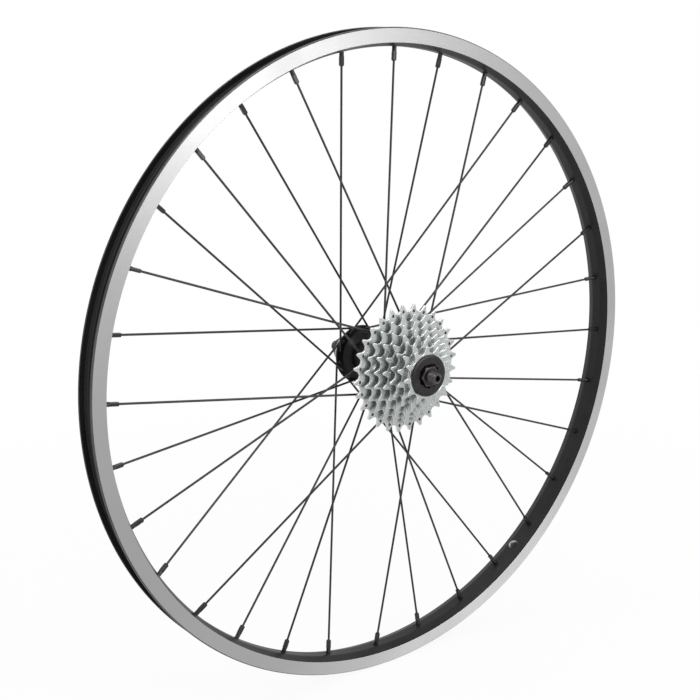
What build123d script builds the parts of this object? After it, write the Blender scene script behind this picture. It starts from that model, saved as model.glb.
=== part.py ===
from build123d import *
import math
import os

os.makedirs("parts", exist_ok=True)

# The axle lies along Y with the sprockets on the -Y side, and the wheel's centre is the origin.

# Rim section, as a radius from the axle and a half-width from the wheel's centre plane
bead_seat_diameter = 584.0
lip_height = 6.25
rim_outer_radius = bead_seat_diameter / 2 + lip_height
track_height = 12.9
track_foot_radius = rim_outer_radius - track_height
track_foot_half = 12.8
lip_half = 12.3
lip_round = 1.1
lip_inner_half = 9.5
bead_half = 10.6
bead_rise = 0.8
shelf_half = 7.4
shelf_drop = 0.6
well_half = 5.8
bed_drop = 3.4
bed_half = 5.0
rim_floor = 2.4
bed_radius = track_foot_radius - bed_drop
floor_radius = bed_radius + rim_floor
valve_hole_diameter = 8.5

# Lacing
spoke_count = 32
crosses = 3
nipple_step = 360.0 / spoke_count
first_nipple_angle = -2.2
hub_turn = crosses * 2 * nipple_step
family_step = 4 * nipple_step
family_size = spoke_count // 4
valve_angle = first_nipple_angle - 4.5 * nipple_step
spoke_diameter = 2.0
spoke_hole_diameter = 2.5
spoke_seat_gap = 0.05
spoke_sides = 12
hole_sides = 8
outboard_lift = 0.95
nipple_offset = 1.2
nipple_flats = 3.4
nipple_reach = 12.5
nipple_head_radius = 3.0
nipple_head_height = 1.9
nipple_head_lift = 0.55
nipple_hole_radius = 2.6

# Hub shell
flange_drive_y = -24.2
flange_left_y = 36.8
flange_thickness = 2.2
spoke_circle_radius = 24.6
flange_margin = 2.6
flange_radius = spoke_circle_radius + flange_margin
barrel_radius = 15.2
barrel_flare = 5.0
flange_root_depth = 4.0
shell_drive_end_y = -28.6
shell_drive_radius = 21.8
shell_housing_y = -20.0
boss_shoulder_y = 44.5
boss_end_y = 54.0
boss_tip_radius = 17.1
boss_root_radius = 16.4
boss_splines = 52

# Sealed bearings
axle_diameter = 10.0
running_gap = 0.05
seat_gap = 0.02
end_gap = 0.2
hub_bearing_radius = 13.0
hub_bearing_width = 8.0
hub_bearing_left_y = 45.2
hub_bearing_drive_y = -12.2
freehub_bearing_radius = 11.0
freehub_bearing_width = 6.0
freehub_bearing_inner_y = -31.0
freehub_bearing_outer_y = -52.4

# Axle and what is clamped on it
axle_overhang = 9.0
axle_end_step = 0.2
skewer_bore_diameter = 5.4
axle_shoulder_radius = 6.4
axle_chamfer = 0.8
over_locknuts = 135.0
locknut_flats = 17.0
locknut_width = 6.0
locknut_chamfer = 0.9
left_cap_radius = 12.4
spacer_radius = 7.8

# Freehub body
freehub_spline_radius = 17.2
freehub_groove_radius = 16.35
freehub_keys = 9
key_width = 4.6
key_side_gap = 0.15
key_radial_gap = 0.12
freehub_stop_radius = 19.2
freehub_stop_y = -29.3
freehub_nose_y = -21.8
freehub_nose_radius = 14.9
freehub_nose_bore = 7.6
thread_radius = 15.25
thread_gap = 0.1
thread_start_y = -58.7

# Sprockets
tooth_counts = (28, 24, 21, 18, 16, 14, 12)
tooth_phases = (4.12, 9.0, 2.0, 13.0, 6.0, 11.0, 3.0)
chain_pitch = 12.7
roller_seat_radius = 4.0
seat_half_sweep = 58.0
seat_chords = 4
tip_rise = 2.3
tip_half_width = 1.05
sprocket_thickness = 1.8
sprocket_pitch = 5.0
sprocket_first_y = -31.5
spacer_boss_radius = 19.6

# Lockring
lockring_radius = 18.8
lockring_width = 1.65
lockring_bore_radius = 10.8
lockring_edge = 0.3
lockring_undercut = 0.8
lockring_notches = 12
lockring_notch_depth = 0.9
lockring_notch_width = 2.4
lockring_skirt = 4.2

# Ratchet and pawls
ratchet_radius = 19.9
ratchet_teeth = 24
ratchet_tip_radius = 16.2
ratchet_root_radius = 17.6
ratchet_outer_y = -28.3
ratchet_width = 7.0
ratchet_seat_depth = 7.4
pawl_pivot_radius = 12.6
pawl_eye_radius = 1.7
pawl_gap = 0.25
pawl_width = 5.0
pawl_side_gap = 0.4
pawl_tip_reach = 6.9
pawl_tip_rise = 1.75
pawl_tip_width = 1.3
pawl_rake = 0.3
pocket_depth = 1.05
pocket_rise = 4.0
spring_thickness = 0.25
spring_width = 3.0
spring_start = 2.6
spring_end = 8.0


def polar(radius, angle, y=0.0):
    """Point at a radius and an angle in degrees from +X towards +Z, at a place along the axle."""
    turn = math.radians(angle)
    return Vector(radius * math.cos(turn), y, radius * math.sin(turn))


def flat_polar(radius, angle):
    """The same point in the coordinates of a sketch that faces along the axle."""
    turn = math.radians(angle)
    return (radius * math.cos(turn), radius * math.sin(turn))


def facing(y):
    """Sketch plane square to the axle, looking towards the drive side."""
    return Plane.XZ.offset(-y)


def spoke_ends(nipple_angle, turn, flange_y, outward, side):
    """Head end, elbow and nipple seat of the spoke that meets the rim at an angle."""
    hole_angle = nipple_angle + turn * hub_turn
    line = flange_thickness / 2 + spoke_diameter / 2 + spoke_seat_gap
    if outward == side:
        line += outboard_lift
    head = polar(spoke_circle_radius, hole_angle, flange_y - outward * flange_thickness / 2)
    elbow = polar(spoke_circle_radius, hole_angle, flange_y + outward * line)
    seat = polar(bed_radius, nipple_angle, side * nipple_offset)
    return head, elbow, seat


def along(start, end):
    """Unit vector from one point to another."""
    return (end - start).normalized()


# Families of spokes: place of the first one, turn of the hub hole, flange, way out of it, side
drive_leading = (first_nipple_angle, 1, flange_drive_y, -1, -1)
left_leading = (first_nipple_angle + nipple_step, 1, flange_left_y, -1, 1)
drive_trailing = (first_nipple_angle + 2 * nipple_step, -1, flange_drive_y, 1, -1)
left_trailing = (first_nipple_angle + 3 * nipple_step, -1, flange_left_y, 1, 1)
families = (drive_leading, left_leading, drive_trailing, left_trailing)


# Rim: hooked section turned about the axle, with a hole along each spoke and one for the valve
rim_side = [
    (bed_radius, bed_half),
    (track_foot_radius, track_foot_half),
    (rim_outer_radius - lip_round, lip_half),
    (rim_outer_radius, lip_half - lip_round),
    (rim_outer_radius, lip_inner_half),
    (bead_seat_diameter / 2 + bead_rise, bead_half),
    (bead_seat_diameter / 2 - shelf_drop, shelf_half),
    (floor_radius, well_half),
]
with BuildPart() as rim:
    with BuildSketch(Plane.XY):
        with BuildLine():
            other_side = [(radius, -half) for radius, half in reversed(rim_side)]
            Polyline(*rim_side, *other_side, close=True)
        make_face()
    revolve(axis=Axis.Y)
    for first_angle, turn, flange_y, outward, side in families:
        for index in range(family_size):
            head, elbow, seat = spoke_ends(first_angle + index * family_step, turn, flange_y, outward, side)
            spoke_way = along(elbow, seat)
            with BuildSketch(Plane(seat - spoke_way * rim_floor, z_dir=spoke_way)):
                RegularPolygon(nipple_hole_radius, hole_sides, major_radius=False)
            extrude(amount=3 * rim_floor, mode=Mode.SUBTRACT)
    with BuildSketch(Plane(polar(bed_radius - rim_floor, valve_angle), z_dir=polar(1, valve_angle))):
        Circle(valve_hole_diameter / 2)
    extrude(amount=3 * rim_floor, mode=Mode.SUBTRACT)
rim.part.label = "rim"
export_step(rim.part, "parts/rim.step")


def spoke_family(first_angle, turn, flange_y, outward, side):
    """One family of bent spokes, each a stub in its flange hole and a straight run to the nipple."""
    head, elbow, seat = spoke_ends(first_angle, turn, flange_y, outward, side)
    spoke_way = along(elbow, seat)
    stub_way = along(head, elbow)
    square_way = stub_way.cross(spoke_way)
    mitre = Plane(elbow, z_dir=spoke_way + stub_way)
    mouth = seat - spoke_way * nipple_reach
    with BuildPart() as stub:
        with BuildSketch(Plane(head, x_dir=square_way, z_dir=stub_way)):
            RegularPolygon(spoke_diameter / 2, spoke_sides)
        extrude(amount=(elbow - head).length + spoke_diameter)
        split(bisect_by=mitre, keep=Keep.BOTTOM)
    with BuildPart() as shaft:
        with BuildSketch(Plane(mouth, x_dir=square_way, z_dir=-spoke_way)):
            RegularPolygon(spoke_diameter / 2, spoke_sides)
        extrude(amount=(mouth - elbow).length + spoke_diameter)
        split(bisect_by=mitre, keep=Keep.TOP)
    with BuildPart() as family:
        for index in range(family_size):
            add(stub.part.rotate(Axis.Y, -index * family_step))
            add(shaft.part.rotate(Axis.Y, -index * family_step))
    return family.part


spokes_drive_leading = spoke_family(*drive_leading)
spokes_drive_leading.label = "spokes_drive_leading"
export_step(spokes_drive_leading, "parts/spokes_drive_leading.step")

spokes_drive_trailing = spoke_family(*drive_trailing)
spokes_drive_trailing.label = "spokes_drive_trailing"
export_step(spokes_drive_trailing, "parts/spokes_drive_trailing.step")

spokes_left_leading = spoke_family(*left_leading)
spokes_left_leading.label = "spokes_left_leading"
export_step(spokes_left_leading, "parts/spokes_left_leading.step")

spokes_left_trailing = spoke_family(*left_trailing)
spokes_left_trailing.label = "spokes_left_trailing"
export_step(spokes_left_trailing, "parts/spokes_left_trailing.step")


def nipple_pair(leading, trailing):
    """Nipples of one side of the wheel, each through the rim floor with its head in the tyre well."""
    with BuildPart() as nipples:
        for first_angle, turn, flange_y, outward, side in (leading, trailing):
            for index in range(family_size):
                angle = first_angle + index * family_step
                head, elbow, seat = spoke_ends(angle, turn, flange_y, outward, side)
                spoke_way = along(elbow, seat)
                axle_way = Vector(0, 1, 0)
                mouth = seat - spoke_way * nipple_reach
                body_length = nipple_reach + rim_floor + nipple_head_lift
                with BuildSketch(Plane(mouth, x_dir=axle_way.cross(spoke_way), z_dir=spoke_way)):
                    Rectangle(nipple_flats, nipple_flats)
                extrude(amount=body_length)
                crown = mouth + spoke_way * body_length
                with BuildSketch(Plane(crown, x_dir=axle_way.cross(spoke_way), z_dir=spoke_way)):
                    RegularPolygon(nipple_head_radius, hole_sides)
                extrude(amount=nipple_head_height)
    return nipples.part


nipples_drive = nipple_pair(drive_leading, drive_trailing)
nipples_drive.label = "nipples_drive"
export_step(nipples_drive, "parts/nipples_drive.step")

nipples_left = nipple_pair(left_leading, left_trailing)
nipples_left.label = "nipples_left"
export_step(nipples_left, "parts/nipples_left.step")


# Hub shell: turned barrel with two drilled flanges, seats for the bearings and the splined boss
flange_half = flange_thickness / 2
flange_root_radius = spoke_circle_radius - flange_root_depth
bearing_seat = hub_bearing_radius + seat_gap
ratchet_seat_y = shell_drive_end_y + ratchet_seat_depth
shell_outside = [
    (ratchet_radius + seat_gap, shell_drive_end_y),
    (shell_drive_radius, shell_drive_end_y),
    (shell_drive_radius, flange_drive_y - flange_half),
    (flange_radius, flange_drive_y - flange_half),
    (flange_radius, flange_drive_y + flange_half),
    (shell_drive_radius, flange_drive_y + flange_half),
    (shell_drive_radius, shell_housing_y),
    (barrel_radius, shell_housing_y + barrel_flare),
    (barrel_radius, flange_left_y - flange_half - barrel_flare),
    (flange_root_radius, flange_left_y - flange_half),
    (flange_radius, flange_left_y - flange_half),
    (flange_radius, flange_left_y + flange_half),
    (flange_root_radius, flange_left_y + flange_half),
    (flange_root_radius, boss_shoulder_y),
    (bearing_seat, boss_shoulder_y),
]
shell_inside = [
    (bearing_seat, hub_bearing_left_y - end_gap),
    (axle_shoulder_radius + 4 * end_gap, hub_bearing_left_y - end_gap),
    (axle_shoulder_radius + 4 * end_gap, hub_bearing_drive_y + end_gap),
    (bearing_seat, hub_bearing_drive_y + end_gap),
    (bearing_seat, ratchet_seat_y),
    (ratchet_radius + seat_gap, ratchet_seat_y),
]
with BuildPart() as hub_shell:
    with BuildSketch(Plane.XY):
        with BuildLine():
            Polyline(*shell_outside, *shell_inside, close=True)
        make_face()
    revolve(axis=Axis.Y)
    for first_angle, turn, flange_y, outward, side in families:
        for index in range(family_size):
            hole_angle = first_angle + index * family_step + turn * hub_turn
            with BuildSketch(Plane(polar(spoke_circle_radius, hole_angle, flange_y), z_dir=(0, 1, 0))):
                RegularPolygon(spoke_hole_diameter / 2, hole_sides, major_radius=False)
            extrude(amount=flange_thickness, both=True, mode=Mode.SUBTRACT)
    with BuildSketch(facing(boss_end_y)):
        with BuildLine():
            serration = []
            for spline in range(boss_splines):
                spline_angle = spline * 360.0 / boss_splines
                serration.append(flat_polar(boss_tip_radius, spline_angle))
                serration.append(flat_polar(boss_root_radius, spline_angle + 180.0 / boss_splines))
            Polyline(*serration, close=True)
        make_face()
        Circle(bearing_seat, mode=Mode.SUBTRACT)
    extrude(amount=boss_end_y - boss_shoulder_y)
hub_shell.part.label = "hub_shell"
export_step(hub_shell.part, "parts/hub_shell.step")


def sealed_bearing(name, inner_radius, outer_radius, top_y, width):
    """Sealed bearing as one ring, running on the axle and seated in its housing."""
    with BuildPart() as bearing:
        with BuildSketch(facing(top_y)):
            Circle(outer_radius)
            Circle(inner_radius, mode=Mode.SUBTRACT)
        extrude(amount=width)
    bearing.part.label = name
    export_step(bearing.part, "parts/" + name + ".step")


axle_radius = axle_diameter / 2
journal = axle_radius + running_gap
left_bearing_end_y = hub_bearing_left_y + hub_bearing_width
sealed_bearing("hub_bearing_left", journal, hub_bearing_radius, left_bearing_end_y, hub_bearing_width)
sealed_bearing("hub_bearing_drive", journal, hub_bearing_radius, hub_bearing_drive_y, hub_bearing_width)
sealed_bearing(
    "freehub_bearing_inner", journal, freehub_bearing_radius, freehub_bearing_inner_y, freehub_bearing_width
)
sealed_bearing(
    "freehub_bearing_outer", journal, freehub_bearing_radius, freehub_bearing_outer_y, freehub_bearing_width
)


# Axle: turned with a thick middle that the hub bearings stand against, hollow for the skewer
axle_half = over_locknuts / 2 + axle_overhang
axle_end_radius = axle_radius - axle_end_step
bore_radius = skewer_bore_diameter / 2
with BuildPart() as axle:
    with BuildSketch(Plane.XY):
        with BuildLine():
            Polyline(
                (bore_radius, -axle_half),
                (axle_end_radius - axle_chamfer, -axle_half),
                (axle_end_radius, -axle_half + axle_chamfer),
                (axle_end_radius, -over_locknuts / 2),
                (axle_radius, -over_locknuts / 2),
                (axle_radius, hub_bearing_drive_y + end_gap),
                (axle_shoulder_radius, hub_bearing_drive_y + end_gap),
                (axle_shoulder_radius, hub_bearing_left_y - end_gap),
                (axle_radius, hub_bearing_left_y - end_gap),
                (axle_radius, over_locknuts / 2),
                (axle_end_radius, over_locknuts / 2),
                (axle_end_radius, axle_half - axle_chamfer),
                (axle_end_radius - axle_chamfer, axle_half),
                (bore_radius, axle_half),
                close=True,
            )
        make_face()
    revolve(axis=Axis.Y)
axle.part.label = "axle"
export_step(axle.part, "parts/axle.step")


# Cap and spacer between the bearings and the locknuts
locknut_seat_y = over_locknuts / 2 - locknut_width
with BuildPart() as end_cap_left:
    with BuildSketch(facing(locknut_seat_y)):
        Circle(left_cap_radius)
        Circle(axle_radius + seat_gap, mode=Mode.SUBTRACT)
    extrude(amount=locknut_seat_y - left_bearing_end_y - end_gap)
end_cap_left.part.label = "end_cap_left"
export_step(end_cap_left.part, "parts/end_cap_left.step")

drive_spacer_y = freehub_bearing_outer_y - freehub_bearing_width - end_gap
with BuildPart() as end_spacer_drive:
    with BuildSketch(facing(drive_spacer_y)):
        Circle(spacer_radius)
        Circle(axle_radius + seat_gap, mode=Mode.SUBTRACT)
    extrude(amount=locknut_seat_y + drive_spacer_y)
end_spacer_drive.part.label = "end_spacer_drive"
export_step(end_spacer_drive.part, "parts/end_spacer_drive.step")


def locknut(name, side):
    """Hexagonal locknut with its outer corners turned off."""
    corner_radius = locknut_flats / math.sqrt(3)
    with BuildPart() as nut:
        with BuildSketch(Plane((0, side * locknut_seat_y, 0), x_dir=(1, 0, 0), z_dir=(0, side, 0))):
            RegularPolygon(locknut_flats / 2, 6, major_radius=False)
            Circle(axle_radius + seat_gap, mode=Mode.SUBTRACT)
        extrude(amount=locknut_width)
        with BuildSketch(Plane.XY):
            with BuildLine():
                end_y = side * over_locknuts / 2
                Polyline(
                    (corner_radius - 2 * locknut_chamfer, end_y),
                    (corner_radius + locknut_chamfer, end_y),
                    (corner_radius + locknut_chamfer, end_y - side * locknut_chamfer * 1.5),
                    close=True,
                )
            make_face()
        revolve(axis=Axis.Y, mode=Mode.SUBTRACT)
    nut.part.label = name
    export_step(nut.part, "parts/" + name + ".step")


locknut("locknut_left", 1)
locknut("locknut_drive", -1)


# Freehub body: splined for the sprockets, threaded for the lockring, pockets for the pawls in its nose
sprocket_stack = sprocket_pitch * (len(tooth_counts) - 1) + sprocket_thickness
sprocket_last_y = sprocket_first_y - sprocket_stack
freehub_end_y = sprocket_last_y + end_gap / 2
bearing_bore = freehub_bearing_radius + seat_gap


def pawl_point(along_arm, rise):
    """Sketch point of a pawl, from its pivot along the arm and outwards from the axle."""
    return (pawl_pivot_radius + rise, -along_arm)


with BuildPart() as freehub_body:
    with BuildSketch(Plane.XY):
        with BuildLine():
            Polyline(
                (freehub_nose_bore, freehub_nose_y),
                (freehub_nose_radius, freehub_nose_y),
                (freehub_nose_radius, freehub_stop_y),
                (freehub_stop_radius, freehub_stop_y),
                (freehub_stop_radius, sprocket_first_y),
                (freehub_spline_radius, sprocket_first_y),
                (freehub_spline_radius, freehub_end_y),
                (thread_radius, freehub_end_y),
                (thread_radius, thread_start_y),
                (bearing_bore, thread_start_y),
                (bearing_bore, freehub_bearing_inner_y),
                (freehub_nose_bore, freehub_bearing_inner_y),
                close=True,
            )
        make_face()
    revolve(axis=Axis.Y)
    with BuildSketch(facing(sprocket_first_y)):
        with PolarLocations(freehub_spline_radius, freehub_keys):
            Rectangle(2 * (freehub_spline_radius - freehub_groove_radius), key_width + 2 * key_side_gap)
    extrude(amount=sprocket_stack, mode=Mode.SUBTRACT)
    with BuildSketch(facing(freehub_nose_y)):
        with PolarLocations(pawl_pivot_radius, 2):
            Circle(pawl_eye_radius + pawl_gap)
        with PolarLocations(0, 2):
            Polygon(
                pawl_point(-pawl_eye_radius, pocket_rise),
                pawl_point(pawl_tip_reach + 2 * pawl_tip_width, pocket_rise),
                pawl_point(pawl_tip_reach + 2 * pawl_tip_width, -pocket_depth),
                pawl_point(0, -pawl_eye_radius - pawl_gap),
                pawl_point(-pawl_eye_radius, 0),
                align=None,
            )
    extrude(amount=pawl_width + 2 * pawl_side_gap, mode=Mode.SUBTRACT)
freehub_body.part.label = "freehub_body"
export_step(freehub_body.part, "parts/freehub_body.step")


def sprocket(name, index):
    """Sprocket at chain pitch with the keys of the freehub spline, and a spacer boss if not the first."""
    teeth = tooth_counts[index]
    phase = tooth_phases[index]
    tooth_angle = 360.0 / teeth
    pitch_radius = chain_pitch / (2 * math.sin(math.pi / teeth))
    tip_radius = pitch_radius + tip_rise
    tip_half_angle = math.degrees(tip_half_width / tip_radius)
    inner_y = sprocket_first_y - index * sprocket_pitch
    with BuildPart() as plate:
        with BuildSketch(facing(inner_y)):
            with BuildLine():
                outline = []
                for tooth in range(teeth):
                    tip_angle = phase + tooth * tooth_angle
                    outline.append(Vector(*flat_polar(tip_radius, tip_angle - tip_half_angle)))
                    outline.append(Vector(*flat_polar(tip_radius, tip_angle + tip_half_angle)))
                    seat_angle = tip_angle + tooth_angle / 2
                    seat_centre = Vector(*flat_polar(pitch_radius, seat_angle))
                    for chord in range(seat_chords + 1):
                        swing = seat_half_sweep * (1 - 2 * chord / seat_chords)
                        seat_point = flat_polar(roller_seat_radius, seat_angle + 180 + swing)
                        outline.append(seat_centre + Vector(*seat_point))
                Polyline(*outline, close=True)
            make_face()
        extrude(amount=sprocket_thickness)
        if index > 0:
            with BuildSketch(facing(inner_y)):
                RegularPolygon(spacer_boss_radius, 2 * freehub_keys)
            extrude(amount=sprocket_thickness - sprocket_pitch)
        with BuildSketch(facing(inner_y - sprocket_thickness)):
            bore = freehub_spline_radius + key_radial_gap
            key_height = freehub_spline_radius - freehub_groove_radius
            Circle(bore)
            with PolarLocations(freehub_groove_radius + key_radial_gap + key_height, freehub_keys):
                Rectangle(2 * key_height, key_width, mode=Mode.SUBTRACT)
        extrude(amount=-sprocket_pitch, mode=Mode.SUBTRACT)
    plate.part.label = name
    export_step(plate.part, "parts/" + name + ".step")


for place, count in enumerate(tooth_counts):
    sprocket("sprocket_" + str(count), place)


# Lockring: flange over the smallest sprocket, skirt in the freehub thread, notched bore
lockring_face_y = sprocket_last_y - lockring_width
with BuildPart() as lockring:
    with BuildSketch(Plane.XY):
        with BuildLine():
            Polyline(
                (lockring_bore_radius, lockring_face_y),
                (lockring_radius - lockring_edge, lockring_face_y),
                (lockring_radius, lockring_face_y + lockring_edge),
                (lockring_radius - lockring_undercut, sprocket_last_y),
                (thread_radius - thread_gap, sprocket_last_y),
                (thread_radius - thread_gap, sprocket_last_y + lockring_skirt),
                (lockring_bore_radius, sprocket_last_y + lockring_skirt),
                close=True,
            )
        make_face()
    revolve(axis=Axis.Y)
    with BuildSketch(facing(lockring_face_y)):
        with PolarLocations(lockring_bore_radius, lockring_notches):
            Rectangle(2 * lockring_notch_depth, lockring_notch_width)
    extrude(amount=-lockring_width - lockring_skirt, mode=Mode.SUBTRACT)
lockring.part.label = "lockring"
export_step(lockring.part, "parts/lockring.step")


# Ratchet ring: saw teeth on the inside, steep on the side that the pawls push
with BuildPart() as ratchet_ring:
    with BuildSketch(facing(ratchet_outer_y + ratchet_width)):
        Circle(ratchet_radius)
        with BuildLine():
            saw = []
            for tooth in range(ratchet_teeth):
                tooth_start = tooth * 360.0 / ratchet_teeth
                saw.append(flat_polar(ratchet_tip_radius, tooth_start))
                saw.append(flat_polar(ratchet_root_radius, tooth_start + 60.0 / ratchet_teeth))
            Polyline(*saw, close=True)
        make_face(mode=Mode.SUBTRACT)
    extrude(amount=ratchet_width)
ratchet_ring.part.label = "ratchet_ring"
export_step(ratchet_ring.part, "parts/ratchet_ring.step")


def pawl(name, place_angle):
    """Pawl with a round eye in its pocket and an arm that ends just inside the ratchet teeth."""
    with BuildPart() as arm:
        with BuildSketch(facing(freehub_nose_y - pawl_side_gap)):
            with Locations((pawl_pivot_radius, 0)):
                Circle(pawl_eye_radius)
            with BuildLine():
                Polyline(
                    pawl_point(-pawl_rake, pawl_eye_radius - pawl_rake / 2),
                    pawl_point(pawl_tip_reach, pawl_tip_rise),
                    pawl_point(pawl_tip_reach + pawl_rake, pawl_tip_rise - pawl_tip_width),
                    pawl_point(pawl_eye_radius / 2, -pawl_eye_radius * 0.8),
                    close=True,
                )
            make_face()
        extrude(amount=pawl_width)
    turned = arm.part.rotate(Axis.Y, -place_angle)
    turned.label = name
    export_step(turned, "parts/" + name + ".step")


pawl("pawl_a", 0.0)
pawl("pawl_b", 180.0)


# Leaf springs, pressed flat on the floors of the pawl pockets
def pocket_floor(along_arm, height):
    """Sketch point at a height over a pocket's floor."""
    pocket_end = pawl_tip_reach + 2 * pawl_tip_width
    floor_start = -pawl_eye_radius - pawl_gap
    return pawl_point(along_arm, floor_start + (-pocket_depth - floor_start) * along_arm / pocket_end + height)


with BuildPart() as pawl_springs:
    with BuildSketch(facing(freehub_nose_y - pawl_side_gap - (pawl_width - spring_width) / 2)):
        with PolarLocations(0, 2):
            Polygon(
                pocket_floor(spring_start, seat_gap),
                pocket_floor(spring_end, seat_gap),
                pocket_floor(spring_end, seat_gap + spring_thickness),
                pocket_floor(spring_start, seat_gap + spring_thickness),
                align=None,
            )
    extrude(amount=spring_width)
pawl_springs.part.label = "pawl_springs"
export_step(pawl_springs.part, "parts/pawl_springs.step")
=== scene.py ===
"""Rear bicycle wheel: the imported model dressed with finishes, turned detail and a studio."""

import logging
import math
from dataclasses import dataclass
from enum import Enum, IntEnum
from typing import Callable, Iterable, Sequence

import bmesh
import bpy
from mathutils import Matrix, Vector


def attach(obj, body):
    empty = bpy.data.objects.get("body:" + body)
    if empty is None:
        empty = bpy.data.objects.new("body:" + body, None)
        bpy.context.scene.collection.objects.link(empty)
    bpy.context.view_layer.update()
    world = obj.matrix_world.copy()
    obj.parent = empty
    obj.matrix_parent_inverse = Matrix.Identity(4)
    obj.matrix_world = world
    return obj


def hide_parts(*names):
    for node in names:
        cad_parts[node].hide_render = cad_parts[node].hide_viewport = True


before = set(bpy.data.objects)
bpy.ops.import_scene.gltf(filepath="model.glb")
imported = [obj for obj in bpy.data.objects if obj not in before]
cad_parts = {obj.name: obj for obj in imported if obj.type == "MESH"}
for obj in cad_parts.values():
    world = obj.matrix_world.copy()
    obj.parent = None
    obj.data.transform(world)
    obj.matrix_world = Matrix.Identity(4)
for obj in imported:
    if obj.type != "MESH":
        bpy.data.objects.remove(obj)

LOG = logging.getLogger("wheel")
MM = 0.001
# Degrees above which an edge stays sharp.
SHARP_ANGLE = 32.0
# Largest share of a profile's side that one rounding takes.
ROUND_SHARE = 0.48
# Millimetres within which the points of a cut sheet are one.
WELD_REACH = 1e-4
# Half width over the flats of a section that has none.
NO_FLATS = math.inf
# Turn of the gloss that lays it along the grooves round the axle.
GROOVE_TURN = 0.25
BUMP_DISTANCE = 0.0002
WEAR_AND_SHEEN_BREAKUP = 900.0

Colour = tuple[float, float, float]
Profile = list[tuple[float, float]]
Section = tuple[float, float, float]


class Body(Enum):
    """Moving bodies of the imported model."""

    AXLE_SET = "axle_set"
    WHEEL = "wheel"
    FREEHUB = "freehub"


class Slot(Enum):
    """Material slots of the record."""

    RIM = "rim"
    SPOKE = "spoke"
    NIPPLE = "nipple"
    HUB = "hub"
    AXLE = "axle"
    SPROCKET = "sprocket"
    LOCKRING = "lockring"


class Side(Enum):
    """Sides of the wheel, as the sign of the place along the axle."""

    DRIVE = -1
    LEFT = 1


class RimFinish(IntEnum):
    """Finishes of the rim, in the order of its materials."""

    BED = 0
    WALL = 1
    VALVE_EDGE = 2
    LIP = 3
    CHANNEL = 4


class HubFinish(IntEnum):
    """Finishes of the hub shell, in the order of its materials."""

    SHELL = 0
    BOSS = 1


class PlateFinish(IntEnum):
    """Finishes of a sprocket, in the order of its materials."""

    CUT_EDGE = 0
    SPACER = 1
    PIT = 2
    FACE = 3


class NutFinish(IntEnum):
    """Finishes of a locknut, in the order of its materials."""

    PLAIN = 0
    CONE = 1


def polar(radius: float, angle: float, y: float = 0.0) -> Vector:
    """Point round the axle.

    Args:
        radius: Distance from the axle.
        angle: Degrees from +X towards +Z.
        y: Place along the axle.

    Returns:
        The point.
    """
    turn = math.radians(angle)
    return Vector((radius * math.cos(turn), y, radius * math.sin(turn)))


def face_on(points: Iterable[Vector]) -> Profile:
    """Outline of points as seen along the axle."""
    return [(point.x, point.z) for point in points]


def curve_point(start: Vector, corner: Vector, end: Vector, share: float) -> Vector:
    """Point on a rounding between the two sides of a corner.

    Args:
        start: Where the rounding leaves the first side.
        corner: The sharp corner.
        end: Where it meets the second side.
        share: Share of the way, from 0 to 1.

    Returns:
        The point.
    """
    return start * (1 - share) ** 2 + corner * 2 * share * (1 - share) + end * share**2


def soften(corners: Sequence[tuple[float, float, float]], steps: int = 4) -> Profile:
    """Round the corners of a closed profile.

    Args:
        corners: Radius, place along the axle and size of the rounding of each corner.
        steps: Points on each rounding, less one.

    Returns:
        The profile's points.
    """
    points: Profile = []
    for place, (radius, y, size) in enumerate(corners):
        corner = Vector((radius, y))
        if size == 0:
            points.append((radius, y))
            continue
        before = Vector(corners[place - 1][:2]) - corner
        after = Vector(corners[(place + 1) % len(corners)][:2]) - corner
        start = corner + before.normalized() * min(size, before.length * ROUND_SHARE)
        end = corner + after.normalized() * min(size, after.length * ROUND_SHARE)
        for step in range(steps + 1):
            spot = curve_point(start, corner, end, step / steps)
            points.append((spot.x, spot.y))
    return points


def skin(
    mesh: bmesh.types.BMesh, loops: list[list[bmesh.types.BMVert]], closed: bool
) -> list[list[bmesh.types.BMFace]]:
    """Join each loop of points to the next.

    Args:
        mesh: Mesh that takes the faces.
        loops: Loops with the same number of points.
        closed: Whether the last loop joins the first.

    Returns:
        Faces of each pair of loops, in the order of their points.
    """
    count = len(loops[0])
    nexts = loops[1:] + loops[:1] if closed else loops[1:]
    bands = []
    for here, there in zip(loops, nexts):
        band = []
        for place in range(count):
            follow = (place + 1) % count
            band.append(mesh.faces.new((here[place], here[follow], there[follow], there[place])))
        bands.append(band)
    return bands


def lathe(
    mesh: bmesh.types.BMesh,
    profile: Profile,
    segments: int,
    material_of: Callable[[float, float], int] = lambda radius, y: 0,
) -> None:
    """Turn a closed profile about the axle.

    Args:
        mesh: Mesh that takes the faces.
        profile: Radius and place along the axle of each point.
        segments: Faces round the axle.
        material_of: Material index for a face's middle radius and place along the axle.
    """
    rings = []
    for step in range(segments):
        angle = 360.0 * step / segments
        rings.append([mesh.verts.new(polar(radius, angle, y)) for radius, y in profile])
    materials = [
        material_of((radius + next_radius) / 2, (y + next_y) / 2)
        for (radius, y), (next_radius, next_y) in zip(profile, profile[1:] + profile[:1])
    ]
    for band in skin(mesh, rings, closed=True):
        for face, material in zip(band, materials):
            face.material_index = material


def loft(mesh: bmesh.types.BMesh, rings: Sequence[Sequence[Vector]], material: int = 0) -> None:
    """Skin a run of rings and close both ends.

    Args:
        mesh: Mesh that takes the faces.
        rings: Rings with the same number of points.
        material: Material index of the faces.
    """
    loops = [[mesh.verts.new(point) for point in ring] for ring in rings]
    faces = [mesh.faces.new(loops[0]), mesh.faces.new(list(reversed(loops[-1])))]
    for band in skin(mesh, loops, closed=False):
        faces += band
    for face in faces:
        face.material_index = material


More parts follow.
